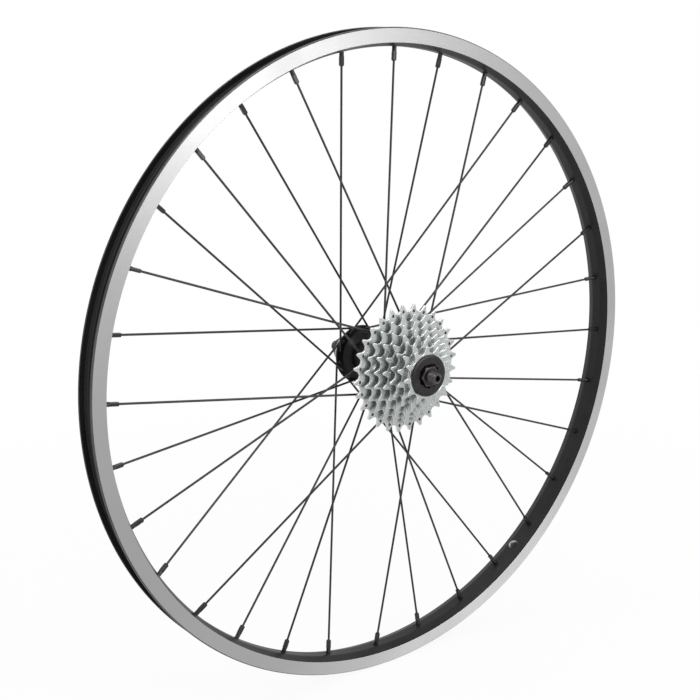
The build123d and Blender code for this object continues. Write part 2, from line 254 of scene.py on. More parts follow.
def tube_rings(points: Sequence[Vector], radii: Sequence[float], sides: int) -> list[list[Vector]]:
    """Rings of a round wire along a path.

    Args:
        points: Middle of the wire.
        radii: Radius at each point.
        sides: Points of each ring.

    Returns:
        The rings.
    """
    rings = []
    across = None
    for place, point in enumerate(points):
        before = points[max(place - 1, 0)]
        after = points[min(place + 1, len(points) - 1)]
        way = (after - before).normalized()
        if across is None:
            across = way.orthogonal().normalized()
        across = (across - way * across.dot(way)).normalized()
        up = way.cross(across)
        ring = []
        for side in range(sides):
            turn = 2 * math.pi * side / sides
            ring.append(point + (across * math.cos(turn) + up * math.sin(turn)) * radii[place])
        rings.append(ring)
    return rings


def shaded_mesh(
    name: str, mesh: bmesh.types.BMesh, sharp_angle: float = SHARP_ANGLE
) -> bpy.types.Mesh:
    """Finish a mesh drawn in millimetres.

    Args:
        name: Name of the mesh.
        mesh: Mesh in millimetres, which is used up.
        sharp_angle: Degrees above which an edge stays sharp.

    Returns:
        The mesh in metres, with smooth faces and sharp edges.
    """
    bmesh.ops.recalc_face_normals(mesh, faces=mesh.faces)
    bmesh.ops.scale(mesh, vec=(MM, MM, MM), verts=mesh.verts)
    data = bpy.data.meshes.new(name)
    mesh.to_mesh(data)
    mesh.free()
    data.shade_smooth()
    data.set_sharp_from_angle(angle=math.radians(sharp_angle))
    return data


def drilled(
    data: bpy.types.Mesh, cutter: bpy.types.Mesh, materials: Sequence[bpy.types.Material]
) -> bpy.types.Mesh:
    """Cut one mesh out of another.

    Args:
        data: Mesh that is cut.
        cutter: Mesh that is taken out.
        materials: Materials in the order of the indices of both.

    Returns:
        A new mesh with the materials and sharp edges.
    """
    for mesh in (data, cutter):
        for material in materials:
            mesh.materials.append(material)
    blank = bpy.data.objects.new("blank", data)
    tool = bpy.data.objects.new("tool", cutter)
    for piece in (blank, tool):
        bpy.context.collection.objects.link(piece)
    cut = blank.modifiers.new("holes", "BOOLEAN")
    cut.operation = "DIFFERENCE"
    cut.solver = "EXACT"
    cut.object = tool
    evaluated = blank.evaluated_get(bpy.context.evaluated_depsgraph_get())
    result = bpy.data.meshes.new_from_object(evaluated)
    for piece in (blank, tool):
        bpy.data.objects.remove(piece)
    result.set_sharp_from_angle(angle=math.radians(SHARP_ANGLE))
    return result


def place_piece(
    name: str,
    data: bpy.types.Mesh,
    body: Body,
    node: str,
    materials: Iterable[bpy.types.Material] = (),
) -> bpy.types.Object:
    """Add a piece to the wheel.

    Args:
        name: Name of the piece.
        data: Its mesh in metres.
        body: Body that it moves with.
        node: Solid that it stands for.
        materials: Materials in the order of the mesh's indices, for a mesh that has none.

    Returns:
        The piece.
    """
    for material in materials:
        data.materials.append(material)
    piece = bpy.data.objects.new(name, data)
    bpy.context.collection.objects.link(piece)
    flat = piece.modifiers.new("flat faces", "WEIGHTED_NORMAL")
    flat.keep_sharp = True
    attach(piece, body.value)
    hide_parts(node)
    LOG.info("%s: %d faces", name, len(data.polygons))
    return piece


class NodeBoard:
    """Adds and joins the nodes of one tree."""

    mix_inputs: tuple[int, int] = (6, 7)
    mix_output: int = 2

    def __init__(self, tree: bpy.types.NodeTree) -> None:
        """Keep the tree, emptied.

        Args:
            tree: Node tree of a material, a world or a group.
        """
        self.tree = tree
        self.tree.nodes.clear()

    def add(self, kind: str, **settings: object) -> bpy.types.Node:
        """Add a node.

        Args:
            kind: Type name of the node.
            **settings: Attributes of the node.

        Returns:
            The node.
        """
        node = self.tree.nodes.new(kind)
        for key, value in settings.items():
            setattr(node, key, value)
        return node

    def join(self, source: bpy.types.NodeSocket, target: bpy.types.NodeSocket) -> None:
        """Link an output to an input."""
        self.tree.links.new(source, target)

    def math(self, operation: str, *values: object) -> bpy.types.NodeSocket:
        """Add a sum.

        Args:
            operation: Name of the sum.
            *values: Numbers or outputs that go in.

        Returns:
            The result.
        """
        node = self.add("ShaderNodeMath", operation=operation)
        for place, value in enumerate(values):
            if isinstance(value, bpy.types.NodeSocket):
                self.join(value, node.inputs[place])
            else:
                node.inputs[place].default_value = value
        return node.outputs[0]

    def spread(self, value: bpy.types.NodeSocket, low: float, high: float) -> bpy.types.NodeSocket:
        """Stretch a mask to a range.

        Args:
            value: Mask from 0 to 1.
            low: Result at 0.
            high: Result at 1.

        Returns:
            The stretched value.
        """
        node = self.add("ShaderNodeMapRange")
        self.join(value, node.inputs["Value"])
        node.inputs["To Min"].default_value = low
        node.inputs["To Max"].default_value = high
        return node.outputs[0]

    def mask(self, value: bpy.types.NodeSocket, low: float, high: float) -> bpy.types.NodeSocket:
        """Turn a range into a mask.

        Args:
            value: Value to measure.
            low: Value at which the mask is 0.
            high: Value at which the mask is 1.

        Returns:
            The mask.
        """
        node = self.add("ShaderNodeMapRange")
        self.join(value, node.inputs["Value"])
        node.inputs["From Min"].default_value = low
        node.inputs["From Max"].default_value = high
        return node.outputs[0]

    def blend(
        self, mask: bpy.types.NodeSocket, first: object, second: object
    ) -> bpy.types.NodeSocket:
        """Mix two colours by a mask.

        Args:
            mask: Share of the second colour.
            first: Colour or output.
            second: Colour or output.

        Returns:
            The mixed colour.
        """
        node = self.add("ShaderNodeMix", data_type="RGBA")
        self.join(mask, node.inputs["Factor"])
        for place, value in zip(self.mix_inputs, (first, second)):
            if isinstance(value, bpy.types.NodeSocket):
                self.join(value, node.inputs[place])
            else:
                node.inputs[place].default_value = (*value, 1.0)
        return node.outputs[self.mix_output]

    def place(self) -> bpy.types.NodeSocket:
        """Place of a point in the wheel's own frame."""
        return self.add("ShaderNodeTexCoord").outputs["Object"]

    def axle_place(self) -> tuple[bpy.types.NodeSocket, bpy.types.NodeSocket]:
        """Measure a point from the axle.

        Returns:
            Distance from the axle and place along it, in metres.
        """
        split = self.add("ShaderNodeSeparateXYZ")
        self.join(self.place(), split.inputs[0])
        x, y, z = split.outputs
        squares = self.math("ADD", self.math("MULTIPLY", x, x), self.math("MULTIPLY", z, z))
        return self.math("SQRT", squares), y


class Effect:
    """Shader node groups that several finishes share."""

    noise_low: float = 0.3
    noise_high: float = 0.7
    cloud_detail: float = 4.0
    grain_detail: float = 2.0
    line_detail: float = 3.0
    flat_meet: float = 0.995
    edge_meet: float = 0.9

    @staticmethod
    def _start(name: str, inputs: Sequence[str], outputs: Sequence[str]) -> NodeBoard | None:
        """Start a group.

        Args:
            name: Name of the group.
            inputs: Names of its number inputs.
            outputs: Names of its number outputs.

        Returns:
            A board for the new group, or None if it exists.
        """
        if name in bpy.data.node_groups:
            return None
        tree = bpy.data.node_groups.new(name, "ShaderNodeTree")
        for label in inputs:
            tree.interface.new_socket(label, in_out="INPUT", socket_type="NodeSocketFloat")
        for label in outputs:
            tree.interface.new_socket(label, in_out="OUTPUT", socket_type="NodeSocketFloat")
        return NodeBoard(tree)

    @classmethod
    def mottle(cls) -> bpy.types.NodeTree:
        """Slow clouds and fine grain of a coated or plated surface.

        Returns:
            The group.
        """
        name = "surface mottle"
        board = cls._start(name, ("Cloud Scale", "Grain Scale"), ("Cloud", "Grain"))
        if board:
            entry = board.add("NodeGroupInput")
            leave = board.add("NodeGroupOutput")
            place = board.place()
            for label, detail in (("Cloud", cls.cloud_detail), ("Grain", cls.grain_detail)):
                noise = board.add("ShaderNodeTexNoise")
                noise.inputs["Detail"].default_value = detail
                board.join(place, noise.inputs["Vector"])
                board.join(entry.outputs[label + " Scale"], noise.inputs["Scale"])
                stretched = board.mask(noise.outputs[0], cls.noise_low, cls.noise_high)
                board.join(stretched, leave.inputs[label])
        return bpy.data.node_groups[name]

    @classmethod
    def turned_lines(cls) -> bpy.types.NodeTree:
        """Fine rings that a lathe tool leaves round the axle.

        Returns:
            The group.
        """
        name = "turned lines"
        board = cls._start(name, ("Lines", "Slope"), ("Height",))
        if board:
            entry = board.add("NodeGroupInput")
            leave = board.add("NodeGroupOutput")
            radius, y = board.axle_place()
            lean = board.math("MULTIPLY", y, entry.outputs["Slope"])
            across = board.math("ADD", radius, lean)
            noise = board.add("ShaderNodeTexNoise", noise_dimensions="1D")
            noise.inputs["Scale"].default_value = 1.0
            noise.inputs["Detail"].default_value = cls.line_detail
            board.join(board.math("MULTIPLY", across, entry.outputs["Lines"]), noise.inputs["W"])
            board.join(noise.outputs[0], leave.inputs["Height"])
        return bpy.data.node_groups[name]

    @classmethod
    def edge_wear_and_sheen(cls) -> bpy.types.NodeTree:
        """Mask of the sharp edges, broken up by grain: worn edges on most finishes, a painted
        highlight on the sprockets.

        Returns:
            The group.
        """
        name = "edge wear"
        board = cls._start(name, ("Reach", "Breakup Scale"), ("Wear And Sheen",))
        if board:
            entry = board.add("NodeGroupInput")
            leave = board.add("NodeGroupOutput")
            rounded = board.add("ShaderNodeBevel", samples=4)
            board.join(entry.outputs["Reach"], rounded.inputs["Radius"])
            plain = board.add("ShaderNodeNewGeometry")
            meet = board.add("ShaderNodeVectorMath", operation="DOT_PRODUCT")
            board.join(rounded.outputs[0], meet.inputs[0])
            board.join(plain.outputs["Normal"], meet.inputs[1])
            edge = board.mask(meet.outputs["Value"], cls.flat_meet, cls.edge_meet)
            noise = board.add("ShaderNodeTexNoise")
            board.join(board.place(), noise.inputs["Vector"])
            board.join(entry.outputs["Breakup Scale"], noise.inputs["Scale"])
            board.join(board.math("MULTIPLY", edge, noise.outputs[0]), leave.inputs["Wear And Sheen"])
        return bpy.data.node_groups[name]


@dataclass(frozen=True)
class Finish:
    """A surface that becomes one material."""

    name: str

    def material(self) -> bpy.types.Material:
        """Build the finish.

        Returns:
            The material, made once.
        """
        if self.name in bpy.data.materials:
            return bpy.data.materials[self.name]
        material = bpy.data.materials.new(self.name)
        material.use_nodes = True
        board = NodeBoard(material.node_tree)
        shader = board.add("ShaderNodeBsdfPrincipled")
        board.join(shader.outputs[0], board.add("ShaderNodeOutputMaterial").inputs["Surface"])
        self._dress(board, shader)
        return material

    def _dress(self, board: NodeBoard, shader: bpy.types.Node) -> None:
        """Set up the shader, which each kind of finish does in its own way."""
        raise NotImplementedError


@dataclass(frozen=True)
class MetalFinish(Finish):
    """A coated, plated or bare metal surface."""

    base: Colour
    shade: Colour
    # Colour of the edge mix: bare metal on most finishes, a near-white painted highlight on the
    # sprockets.
    worn_and_sheen: Colour
    metallic: float
    smooth: float
    rough: float
    cloud_scale: float = 60.0
    grain_scale: float = 2500.0
    grain_height: float = 0.02
    lines: float = 0.0
    line_slope: float = 0.6
    line_height: float = 0.0
    wear_and_sheen: float = 0.5
    wear_and_sheen_reach: float = 0.0003
    anisotropy: float = 0.0
    specular: float = 0.5

    def _dress(self, board: NodeBoard, shader: bpy.types.Node) -> None:
        """Set up the shader.

        Args:
            board: Tree of the material.
            shader: Its shader.
        """
        shader.inputs["Metallic"].default_value = self.metallic
        shader.inputs["Anisotropic"].default_value = self.anisotropy
        shader.inputs["Anisotropic Rotation"].default_value = GROOVE_TURN
        shader.inputs["Specular IOR Level"].default_value = self.specular
        mottle = board.add("ShaderNodeGroup", node_tree=Effect.mottle())
        mottle.inputs["Cloud Scale"].default_value = self.cloud_scale
        mottle.inputs["Grain Scale"].default_value = self.grain_scale
        # Edge mix: worn metal on most finishes; on the sprockets it is a near-white painted
        # highlight along the edges.
        wear_and_sheen = board.add("ShaderNodeGroup", node_tree=Effect.edge_wear_and_sheen())
        wear_and_sheen.inputs["Reach"].default_value = self.wear_and_sheen_reach
        wear_and_sheen.inputs["Breakup Scale"].default_value = WEAR_AND_SHEEN_BREAKUP
        worn_and_sheen = board.math("MULTIPLY", wear_and_sheen.outputs["Wear And Sheen"], self.wear_and_sheen)
        toned = board.blend(mottle.outputs["Cloud"], self.shade, self.base)
        board.join(board.blend(worn_and_sheen, toned, self.worn_and_sheen), shader.inputs["Base Color"])
        roughness = board.spread(mottle.outputs["Cloud"], self.smooth, self.rough)
        board.join(roughness, shader.inputs["Roughness"])
        height = board.math("MULTIPLY", mottle.outputs["Grain"], self.grain_height)
        if self.lines:
            turned = board.add("ShaderNodeGroup", node_tree=Effect.turned_lines())
            turned.inputs["Lines"].default_value = self.lines
            turned.inputs["Slope"].default_value = self.line_slope
            ridge = board.math("MULTIPLY", turned.outputs["Height"], self.line_height)
            height = board.math("ADD", height, ridge)
        bump = board.add("ShaderNodeBump")
        bump.inputs["Distance"].default_value = BUMP_DISTANCE
        board.join(height, bump.inputs["Height"])
        board.join(bump.outputs[0], shader.inputs["Normal"])
        if self.anisotropy:
            turn = board.add("ShaderNodeTangent", direction_type="RADIAL", axis="Y")
            board.join(turn.outputs[0], shader.inputs["Tangent"])


@dataclass(frozen=True)
class SealFinish(Finish):
    """Sealed bearing seen from its end: a dark rubber seal between two steel races."""

    inner_race: float
    outer_race: float
    steel: Colour = (0.22, 0.22, 0.215)
    rubber: Colour = (0.012, 0.012, 0.013)
    steel_rough: float = 0.25
    rubber_rough: float = 0.5
    rub_low: float = 0.02
    rub_high: float = 0.12
    cloud_scale: float = 300.0
    grain_scale: float = 3000.0

    def _dress(self, board: NodeBoard, shader: bpy.types.Node) -> None:
        """Set up the shader.

        Args:
            board: Tree of the material.
            shader: Its shader.
        """
        radius, _ = board.axle_place()
        past_inner = board.math("GREATER_THAN", radius, self.inner_race * MM)
        past_outer = board.math("GREATER_THAN", radius, self.outer_race * MM)
        seal = board.math("SUBTRACT", past_inner, past_outer)
        board.join(board.blend(seal, self.steel, self.rubber), shader.inputs["Base Color"])
        board.join(board.spread(seal, 1.0, 0.0), shader.inputs["Metallic"])
        mottle = board.add("ShaderNodeGroup", node_tree=Effect.mottle())
        mottle.inputs["Cloud Scale"].default_value = self.cloud_scale
        mottle.inputs["Grain Scale"].default_value = self.grain_scale
        rubbed = board.spread(mottle.outputs["Cloud"], self.rub_low, self.rub_high)
        plain = board.spread(seal, self.steel_rough, self.rubber_rough)
        board.join(board.math("ADD", plain, rubbed), shader.inputs["Roughness"])


ANODISED_BLACK = MetalFinish(
    "anodised black", (0.025, 0.025, 0.0253), (0.018, 0.018, 0.0183), (0.09, 0.09, 0.09),
    metallic=0.0, smooth=0.36, rough=0.46, cloud_scale=35.0, grain_height=0.05, wear_and_sheen=0.4,
    wear_and_sheen_reach=0.0004, specular=0.14,
)
MACHINED_SILVER = MetalFinish(
    "machined silver", (0.44, 0.44, 0.438), (0.40, 0.40, 0.402), (0.55, 0.55, 0.55),
    metallic=1.0, smooth=0.46, rough=0.54, cloud_scale=18.0, lines=9000.0, line_height=0.05,
    anisotropy=0.8, wear_and_sheen=0.3,
)
BARE_EDGE = MetalFinish(
    "bare edge", (0.50, 0.50, 0.49), (0.40, 0.40, 0.39), (0.6, 0.6, 0.6),
    metallic=1.0, smooth=0.25, rough=0.35, wear_and_sheen=0.3,
)
BLACK_WIRE = MetalFinish(
    "black wire", (0.024, 0.024, 0.025), (0.017, 0.017, 0.018), (0.12, 0.12, 0.12),
    metallic=0.4, smooth=0.30, rough=0.42, cloud_scale=120.0, wear_and_sheen=0.2,
)
BLACK_PLATED = MetalFinish(
    "black plated", (0.024, 0.024, 0.025), (0.016, 0.016, 0.017), (0.22, 0.21, 0.19),
    metallic=0.5, smooth=0.26, rough=0.38, cloud_scale=220.0, wear_and_sheen=0.6, wear_and_sheen_reach=0.00025,
)
HUB_BLACK = MetalFinish(
    "hub black", (0.007, 0.0065, 0.007), (0.004, 0.004, 0.0045), (0.06, 0.06, 0.06),
    metallic=0.0, smooth=0.28, rough=0.38, lines=2500.0, line_height=0.03, wear_and_sheen=0.4,
    specular=0.18,
)
BOSS_BARE = MetalFinish(
    "boss bare", (0.46, 0.46, 0.45), (0.36, 0.36, 0.35), (0.65, 0.65, 0.65),
    metallic=1.0, smooth=0.32, rough=0.45, cloud_scale=260.0, wear_and_sheen=0.6,
)
# Cut edges and tooth flanks of the plates: a lighter tone than the faces of the same steel, which
# is painted highlight.
PLATED_STEEL_AND_HIGHLIGHT = MetalFinish(
    "plated steel and painted highlight", (0.68, 0.705, 0.698), (0.56, 0.582, 0.575), (0.93, 0.94, 0.94),
    metallic=0.95, smooth=0.13, rough=0.24, cloud_scale=220.0, grain_height=0.05,
    wear_and_sheen=2.0, wear_and_sheen_reach=0.0006,
)
# Faces of the plates; their near-white edge mix is a painted highlight along the edges as well as
# wear.
PLATED_FACE = MetalFinish(
    "plated face", (0.405, 0.427, 0.421), (0.365, 0.385, 0.38), (0.93, 0.94, 0.94),
    metallic=0.8, smooth=0.26, rough=0.36, cloud_scale=160.0, grain_height=0.02,
    lines=3500.0, line_height=0.01, wear_and_sheen=2.0, wear_and_sheen_reach=0.0006,
)
# Spacer bosses and backs of the plates, near white: painted fill light that bounces into the gaps
# between the plates.
SPACER_GREY_AND_FILL = MetalFinish(
    "spacer grey and painted fill", (0.86, 0.88, 0.87), (0.78, 0.80, 0.79), (0.85, 0.85, 0.85),
    metallic=0.0, smooth=0.40, rough=0.52, cloud_scale=200.0, wear_and_sheen=0.3,
)
# Pits under the teeth: a darker grey than the plates, which is painted shade.
PIT_PAINTED_SHADE = MetalFinish(
    "pit painted shade", (0.20, 0.20, 0.20), (0.12, 0.12, 0.12), (0.2, 0.2, 0.2),
    metallic=0.0, smooth=0.5, rough=0.6, cloud_scale=300.0, specular=0.2, wear_and_sheen=0.0,
)
HARD_STEEL = MetalFinish(
    "hard steel", (0.30, 0.30, 0.30), (0.22, 0.22, 0.22), (0.6, 0.6, 0.6),
    metallic=1.0, smooth=0.30, rough=0.45, lines=4000.0, line_height=0.03,
)
BLACK_OXIDE = MetalFinish(
    "black oxide", (0.027, 0.0245, 0.0238), (0.019, 0.0172, 0.0168), (0.18, 0.17, 0.16),
    metallic=0.5, smooth=0.30, rough=0.42, cloud_scale=180.0, lines=5000.0, line_height=0.03,
    wear_and_sheen=0.8, wear_and_sheen_reach=0.0004, specular=0.25,
)
# Lighter oxide: the axle's own worn steel, and on the nuts' turned cones a painted highlight.
WORN_OXIDE_AND_SHEEN = MetalFinish(
    "rubbed oxide and sheen", (0.062, 0.060, 0.059), (0.036, 0.034, 0.034), (0.30, 0.29, 0.29),
    metallic=0.7, smooth=0.26, rough=0.40, cloud_scale=240.0, wear_and_sheen=1.2, wear_and_sheen_reach=0.0004,
)
# Rounded lip of the rim: glossier than the anodised black, with a lighter tone that paints a thin
# highlight line.
LIP_EDGE_AND_HIGHLIGHT = MetalFinish(
    "lip edge and painted highlight", (0.100, 0.098, 0.104), (0.060, 0.059, 0.063), (0.2, 0.2, 0.2),
    metallic=0.6, smooth=0.20, rough=0.30, wear_and_sheen=0.2,
)
CHANNEL_BLACK = MetalFinish(
    "channel black", (0.026, 0.026, 0.027), (0.018, 0.018, 0.019), (0.10, 0.10, 0.10),
    metallic=0.1, smooth=0.42, rough=0.55, cloud_scale=30.0, grain_height=0.05, wear_and_sheen=0.2,
    specular=0.25,
)


@dataclass
class Rim:
    """Hooked rim with machined side walls, drilled for the nipples and the valve."""

    outer_radius: float = 298.25
    track_foot_radius: float = 285.35
    track_top_radius: float = 297.15
    track_foot_half: float = 12.8
    lip_half: float = 12.3
    lip_inner_half: float = 9.5
    bead_radius: float = 292.8
    bead_half: float = 10.6
    shelf_radius: float = 291.4
    shelf_half: float = 7.4
    floor_radius: float = 284.35
    well_half: float = 5.8
    bed_radius: float = 281.95
    bed_half: float = 5.0
    foot_drop: float = 0.25
    foot_inset: float = 0.05
    foot_round: float = 0.25
    wall_round: float = 0.15
    lip_slope: float = 0.9
    lip_round: float = 1.0
    hook_round: float = 0.7
    bead_round: float = 0.8
    corner_round: float = 1.2
    hole_radius: float = 2.4
    valve_radius: float = 4.25
    valve_edge: float = 0.6
    segments: int = 320
    hole_sides: int = 20
    hole_start: float = 3.0
    hole_end: float = 4.6
    valve_flare: float = 1.0
    valve_end: float = 2.0
    valve_sides: int = 40
    foot_margin: float = 0.3
    side_margin: float = 0.2
    crest_margin: float = 0.03
    floor_margin: float = 0.1
    shelf_margin: float = 0.5
    shelf_depth: float = 1.0

    def build(self, lacing: "Lacing") -> bpy.types.Object:
        """Turn the rim, drill it and dress it.

        Args:
            lacing: Spokes whose holes it has.

        Returns:
            The piece.
        """
        foot = self.track_foot_radius
        side = [
            (self.bed_radius, self.bed_half, self.corner_round),
            (foot - self.foot_drop, self.track_foot_half - self.foot_inset, self.foot_round),
            (foot, self.track_foot_half, self.wall_round),
            (self.track_top_radius, self.lip_half, self.wall_round),
            (self.outer_radius, self.lip_half - self.lip_slope, self.lip_round),
            (self.outer_radius, self.lip_inner_half, self.hook_round),
            (self.bead_radius, self.bead_half, self.bead_round),
            (self.shelf_radius, self.shelf_half, self.corner_round),
            (self.floor_radius, self.well_half, self.corner_round),
        ]
        other = [(radius, -half, size) for radius, half, size in reversed(side)]
        turned = bmesh.new()
        lathe(turned, soften(side + other), self.segments, self._material_of)
        holes = bmesh.new()
        for spoke in lacing.spokes():
            start = spoke.seat - spoke.way * self.hole_start
            end = spoke.seat + spoke.way * self.hole_end
            loft(holes, tube_rings((start, end), (self.hole_radius,) * 2, self.hole_sides))
        angle = lacing.valve_angle
        reaches = (
            self.bed_radius - self.valve_flare,
            self.bed_radius + self.valve_edge,
            self.floor_radius + self.valve_end,
        )
        valve_path = [polar(reach, angle) for reach in reaches]
        mouth = self.valve_radius + self.valve_edge + self.valve_flare
        valve_radii = (mouth, self.valve_radius, self.valve_radius)
        loft(holes, tube_rings(valve_path, valve_radii, self.valve_sides), RimFinish.VALVE_EDGE)
        # The lip finish is lighter than the black: a painted highlight line on the rounded lip.
        finishes = (ANODISED_BLACK, MACHINED_SILVER, BARE_EDGE, LIP_EDGE_AND_HIGHLIGHT, CHANNEL_BLACK)
        materials = [finish.material() for finish in finishes]
        blank, cutter = shaded_mesh("rim_blank", turned), shaded_mesh("rim_holes", holes)
        data = drilled(blank, cutter, materials)
        return place_piece("rim_turned", data, Body.WHEEL, "rim")

    def _material_of(self, radius: float, y: float) -> int:
        """Tell the machined wall, the lip's edges and the tyre channel from the coated bed.

        Args:
            radius: Middle radius of a face.
            y: Middle of the face along the axle.

        Returns:
            Material index.
        """
        on_side = abs(y) > self.lip_half - self.side_margin
        if on_side and radius > self.track_foot_radius - self.foot_margin:
            return RimFinish.WALL if radius < self.track_top_radius else RimFinish.LIP
        if radius > self.track_top_radius:
            on_crest = radius >= self.outer_radius - self.crest_margin
            return RimFinish.CHANNEL if on_crest else RimFinish.LIP
        between = abs(y) < self.shelf_half + self.shelf_margin
        in_well = between and radius > self.floor_radius - self.floor_margin
        on_shelf = radius > self.shelf_radius - self.shelf_depth
        return RimFinish.CHANNEL if in_well or on_shelf else RimFinish.BED


@dataclass
class Spoke:
    """Places of one spoke."""

    head: Vector
    elbow: Vector
    seat: Vector

    @property
    def way(self) -> Vector:
        """Direction of the straight run, from the hub to the rim."""
        return (self.seat - self.elbow).normalized()

    @property
    def stub_way(self) -> Vector:
        """Direction of the stub, through the flange towards the elbow."""
        return (self.elbow - self.head).normalized()


@dataclass
class SpokeFamily:
    """Spokes of one side that leave their flange the same way."""

    node: str
    place: int
    turn: int
    flange_y: float
    outward: int
    side: Side


@dataclass
class Lacing:
    """Three-cross lacing of bent spokes, with the nipples that hold them in the rim."""

    spoke_count: int = 32
    crosses: int = 3
    first_angle: float = -2.2
    spoke_radius: float = 1.0
    bend_radius: float = 2.6
    bend_share: float = 0.8
    # Distance from the top of the head along the stub, and radius.
    head_shape: tuple[tuple[float, float], ...] = (
        (0.0, 0.55), (0.12, 1.25), (0.45, 1.8), (0.8, 1.9), (1.13, 1.55), (1.15, 1.0),
    )
    spoke_circle: float = 24.6
    flange_thickness: float = 2.2
    seat_gap: float = 0.05
    outboard_lift: float = 0.95
    rim_bed: float = 281.95
    nipple_offset: float = 1.2
    nipple_reach: float = 12.5
    # Distance from the mouth, radius and half width over the flats.
    nipple_body: tuple[Section, ...] = (
        (0.0, 1.35, NO_FLATS), (0.1, 1.7, NO_FLATS), (0.45, 1.98, 1.7),
        (0.9, 2.25, 1.7), (7.8, 2.25, 1.7), (8.4, 2.05, NO_FLATS),
    )
    # Distance from the underside of the head, and radius.
    nipple_head: tuple[tuple[float, float], ...] = (
        (-0.5, 2.05), (0.0, 2.8), (0.3, 3.0), (1.1, 2.85), (1.65, 2.3), (1.9, 1.6),
    )
    rim_floor: float = 2.4
    crown_lift: float = 0.55
    sides: int = 14
    nipple_sides: int = 24
    bend_steps: int = 8
    run_steps: int = 4
    spoke_overlap: float = 4.0
    valve_step: float = 4.5
    flange_drive_y: float = -24.2
    flange_left_y: float = 36.8

    @property
    def step(self) -> float:
        """Angle between neighbouring nipples."""
        return 360.0 / self.spoke_count

    @property
    def valve_angle(self) -> float:
        """Angle of the valve hole."""
        return self.first_angle - self.valve_step * self.step

    @property
    def families(self) -> list[SpokeFamily]:
        """The four families of spokes.

        Returns:
            The families, in the order round the rim.
        """
        drive, left = self.flange_drive_y, self.flange_left_y
        return [
            SpokeFamily("spokes_drive_leading", 0, 1, drive, -1, Side.DRIVE),
            SpokeFamily("spokes_left_leading", 1, 1, left, -1, Side.LEFT),
            SpokeFamily("spokes_drive_trailing", 2, -1, drive, 1, Side.DRIVE),
            SpokeFamily("spokes_left_trailing", 3, -1, left, 1, Side.LEFT),
        ]

    def family_spokes(self, family: SpokeFamily) -> list[Spoke]:
        """Places of the spokes of a family.

        Args:
            family: The family.

        Returns:
            Its spokes.
        """
        spokes = []
        line = self.flange_thickness / 2 + self.spoke_radius + self.seat_gap
        if family.outward == family.side.value:
            line += self.outboard_lift
        for index in range(self.spoke_count // 4):
            angle = self.first_angle + (family.place + 4 * index) * self.step
            hole = angle + family.turn * self.crosses * 2 * self.step
            far_face = family.flange_y - family.outward * self.flange_thickness / 2
            spokes.append(
                Spoke(
                    polar(self.spoke_circle, hole, far_face),
                    polar(self.spoke_circle, hole, family.flange_y + family.outward * line),
                    polar(self.rim_bed, angle, family.side.value * self.nipple_offset),
                )
            )
        return spokes

    def spokes(self) -> list[Spoke]:
        """All spokes of the wheel."""
        return [spoke for family in self.families for spoke in self.family_spokes(family)]

    def build(self) -> list[bpy.types.Object]:
        """Draw the spokes and the nipples.

        Returns:
            The pieces.
        """
        pieces = []
        for family in self.families:
            mesh = bmesh.new()
            for spoke in self.family_spokes(family):
                self._add_spoke(mesh, spoke)
            name = family.node.replace("spokes", "wire")
            data = shaded_mesh(name, mesh)
            wire = [BLACK_WIRE.material()]
            pieces.append(place_piece(name, data, Body.WHEEL, family.node, wire))
        for side, node in ((Side.DRIVE, "nipples_drive"), (Side.LEFT, "nipples_left")):
            mesh = bmesh.new()
            for family in self.families:
                if family.side is side:
                    for spoke in self.family_spokes(family):
                        self._add_nipple(mesh, spoke)
            name = node + "_plated"
            data = shaded_mesh(name, mesh)
            plated = [BLACK_PLATED.material()]
            pieces.append(place_piece(name, data, Body.WHEEL, node, plated))
        return pieces

    def _add_spoke(self, mesh: bmesh.types.BMesh, spoke: Spoke) -> None:
        """Draw one spoke, from its head through the elbow to the nipple.

        Args:
            mesh: Mesh of its family.
            spoke: Places of the spoke.
        """
        stub, way = spoke.stub_way, spoke.way
        crown = spoke.head - stub * self.head_shape[-1][0]
        path = [crown + stub * reach for reach, _ in self.head_shape]
        radii = [radius for _, radius in self.head_shape]
        bend = min(self.bend_radius, (spoke.elbow - spoke.head).length * self.bend_share)
        start, end = spoke.elbow - stub * bend, spoke.elbow + way * bend
        for step in range(self.bend_steps + 1):
            path.append(curve_point(start, spoke.elbow, end, step / self.bend_steps))
            radii.append(self.spoke_radius)
        straight = path[-1]
        inside = spoke.seat - way * (self.nipple_reach - self.spoke_overlap)
        for step in range(self.run_steps):
            path.append(straight.lerp(inside, (step + 1) / self.run_steps))
            radii.append(self.spoke_radius)
        loft(mesh, tube_rings(path, radii, self.sides))

    def _add_nipple(self, mesh: bmesh.types.BMesh, spoke: Spoke) -> None:
        """Draw one nipple: chamfered mouth, four flats, round shank and domed head.

        Args:
            mesh: Mesh of its side.
            spoke: Places of its spoke.
        """
        way = spoke.way
        across = Vector((0, 1, 0)).cross(way).normalized()
        up = way.cross(across)
        mouth = spoke.seat - way * self.nipple_reach
        head = self.nipple_reach + self.rim_floor + self.crown_lift
        sections = list(self.nipple_body)
        sections += [(head + rise, radius, NO_FLATS) for rise, radius in self.nipple_head]
        rings = []
        for reach, radius, flat in sections:
            ring = []
            for side in range(self.nipple_sides):
                turn = 2 * math.pi * side / self.nipple_sides
                x = max(-flat, min(flat, radius * math.cos(turn)))
                y = max(-flat, min(flat, radius * math.sin(turn)))
                ring.append(mouth + way * reach + across * x + up * y)
            rings.append(ring)
        loft(mesh, rings)


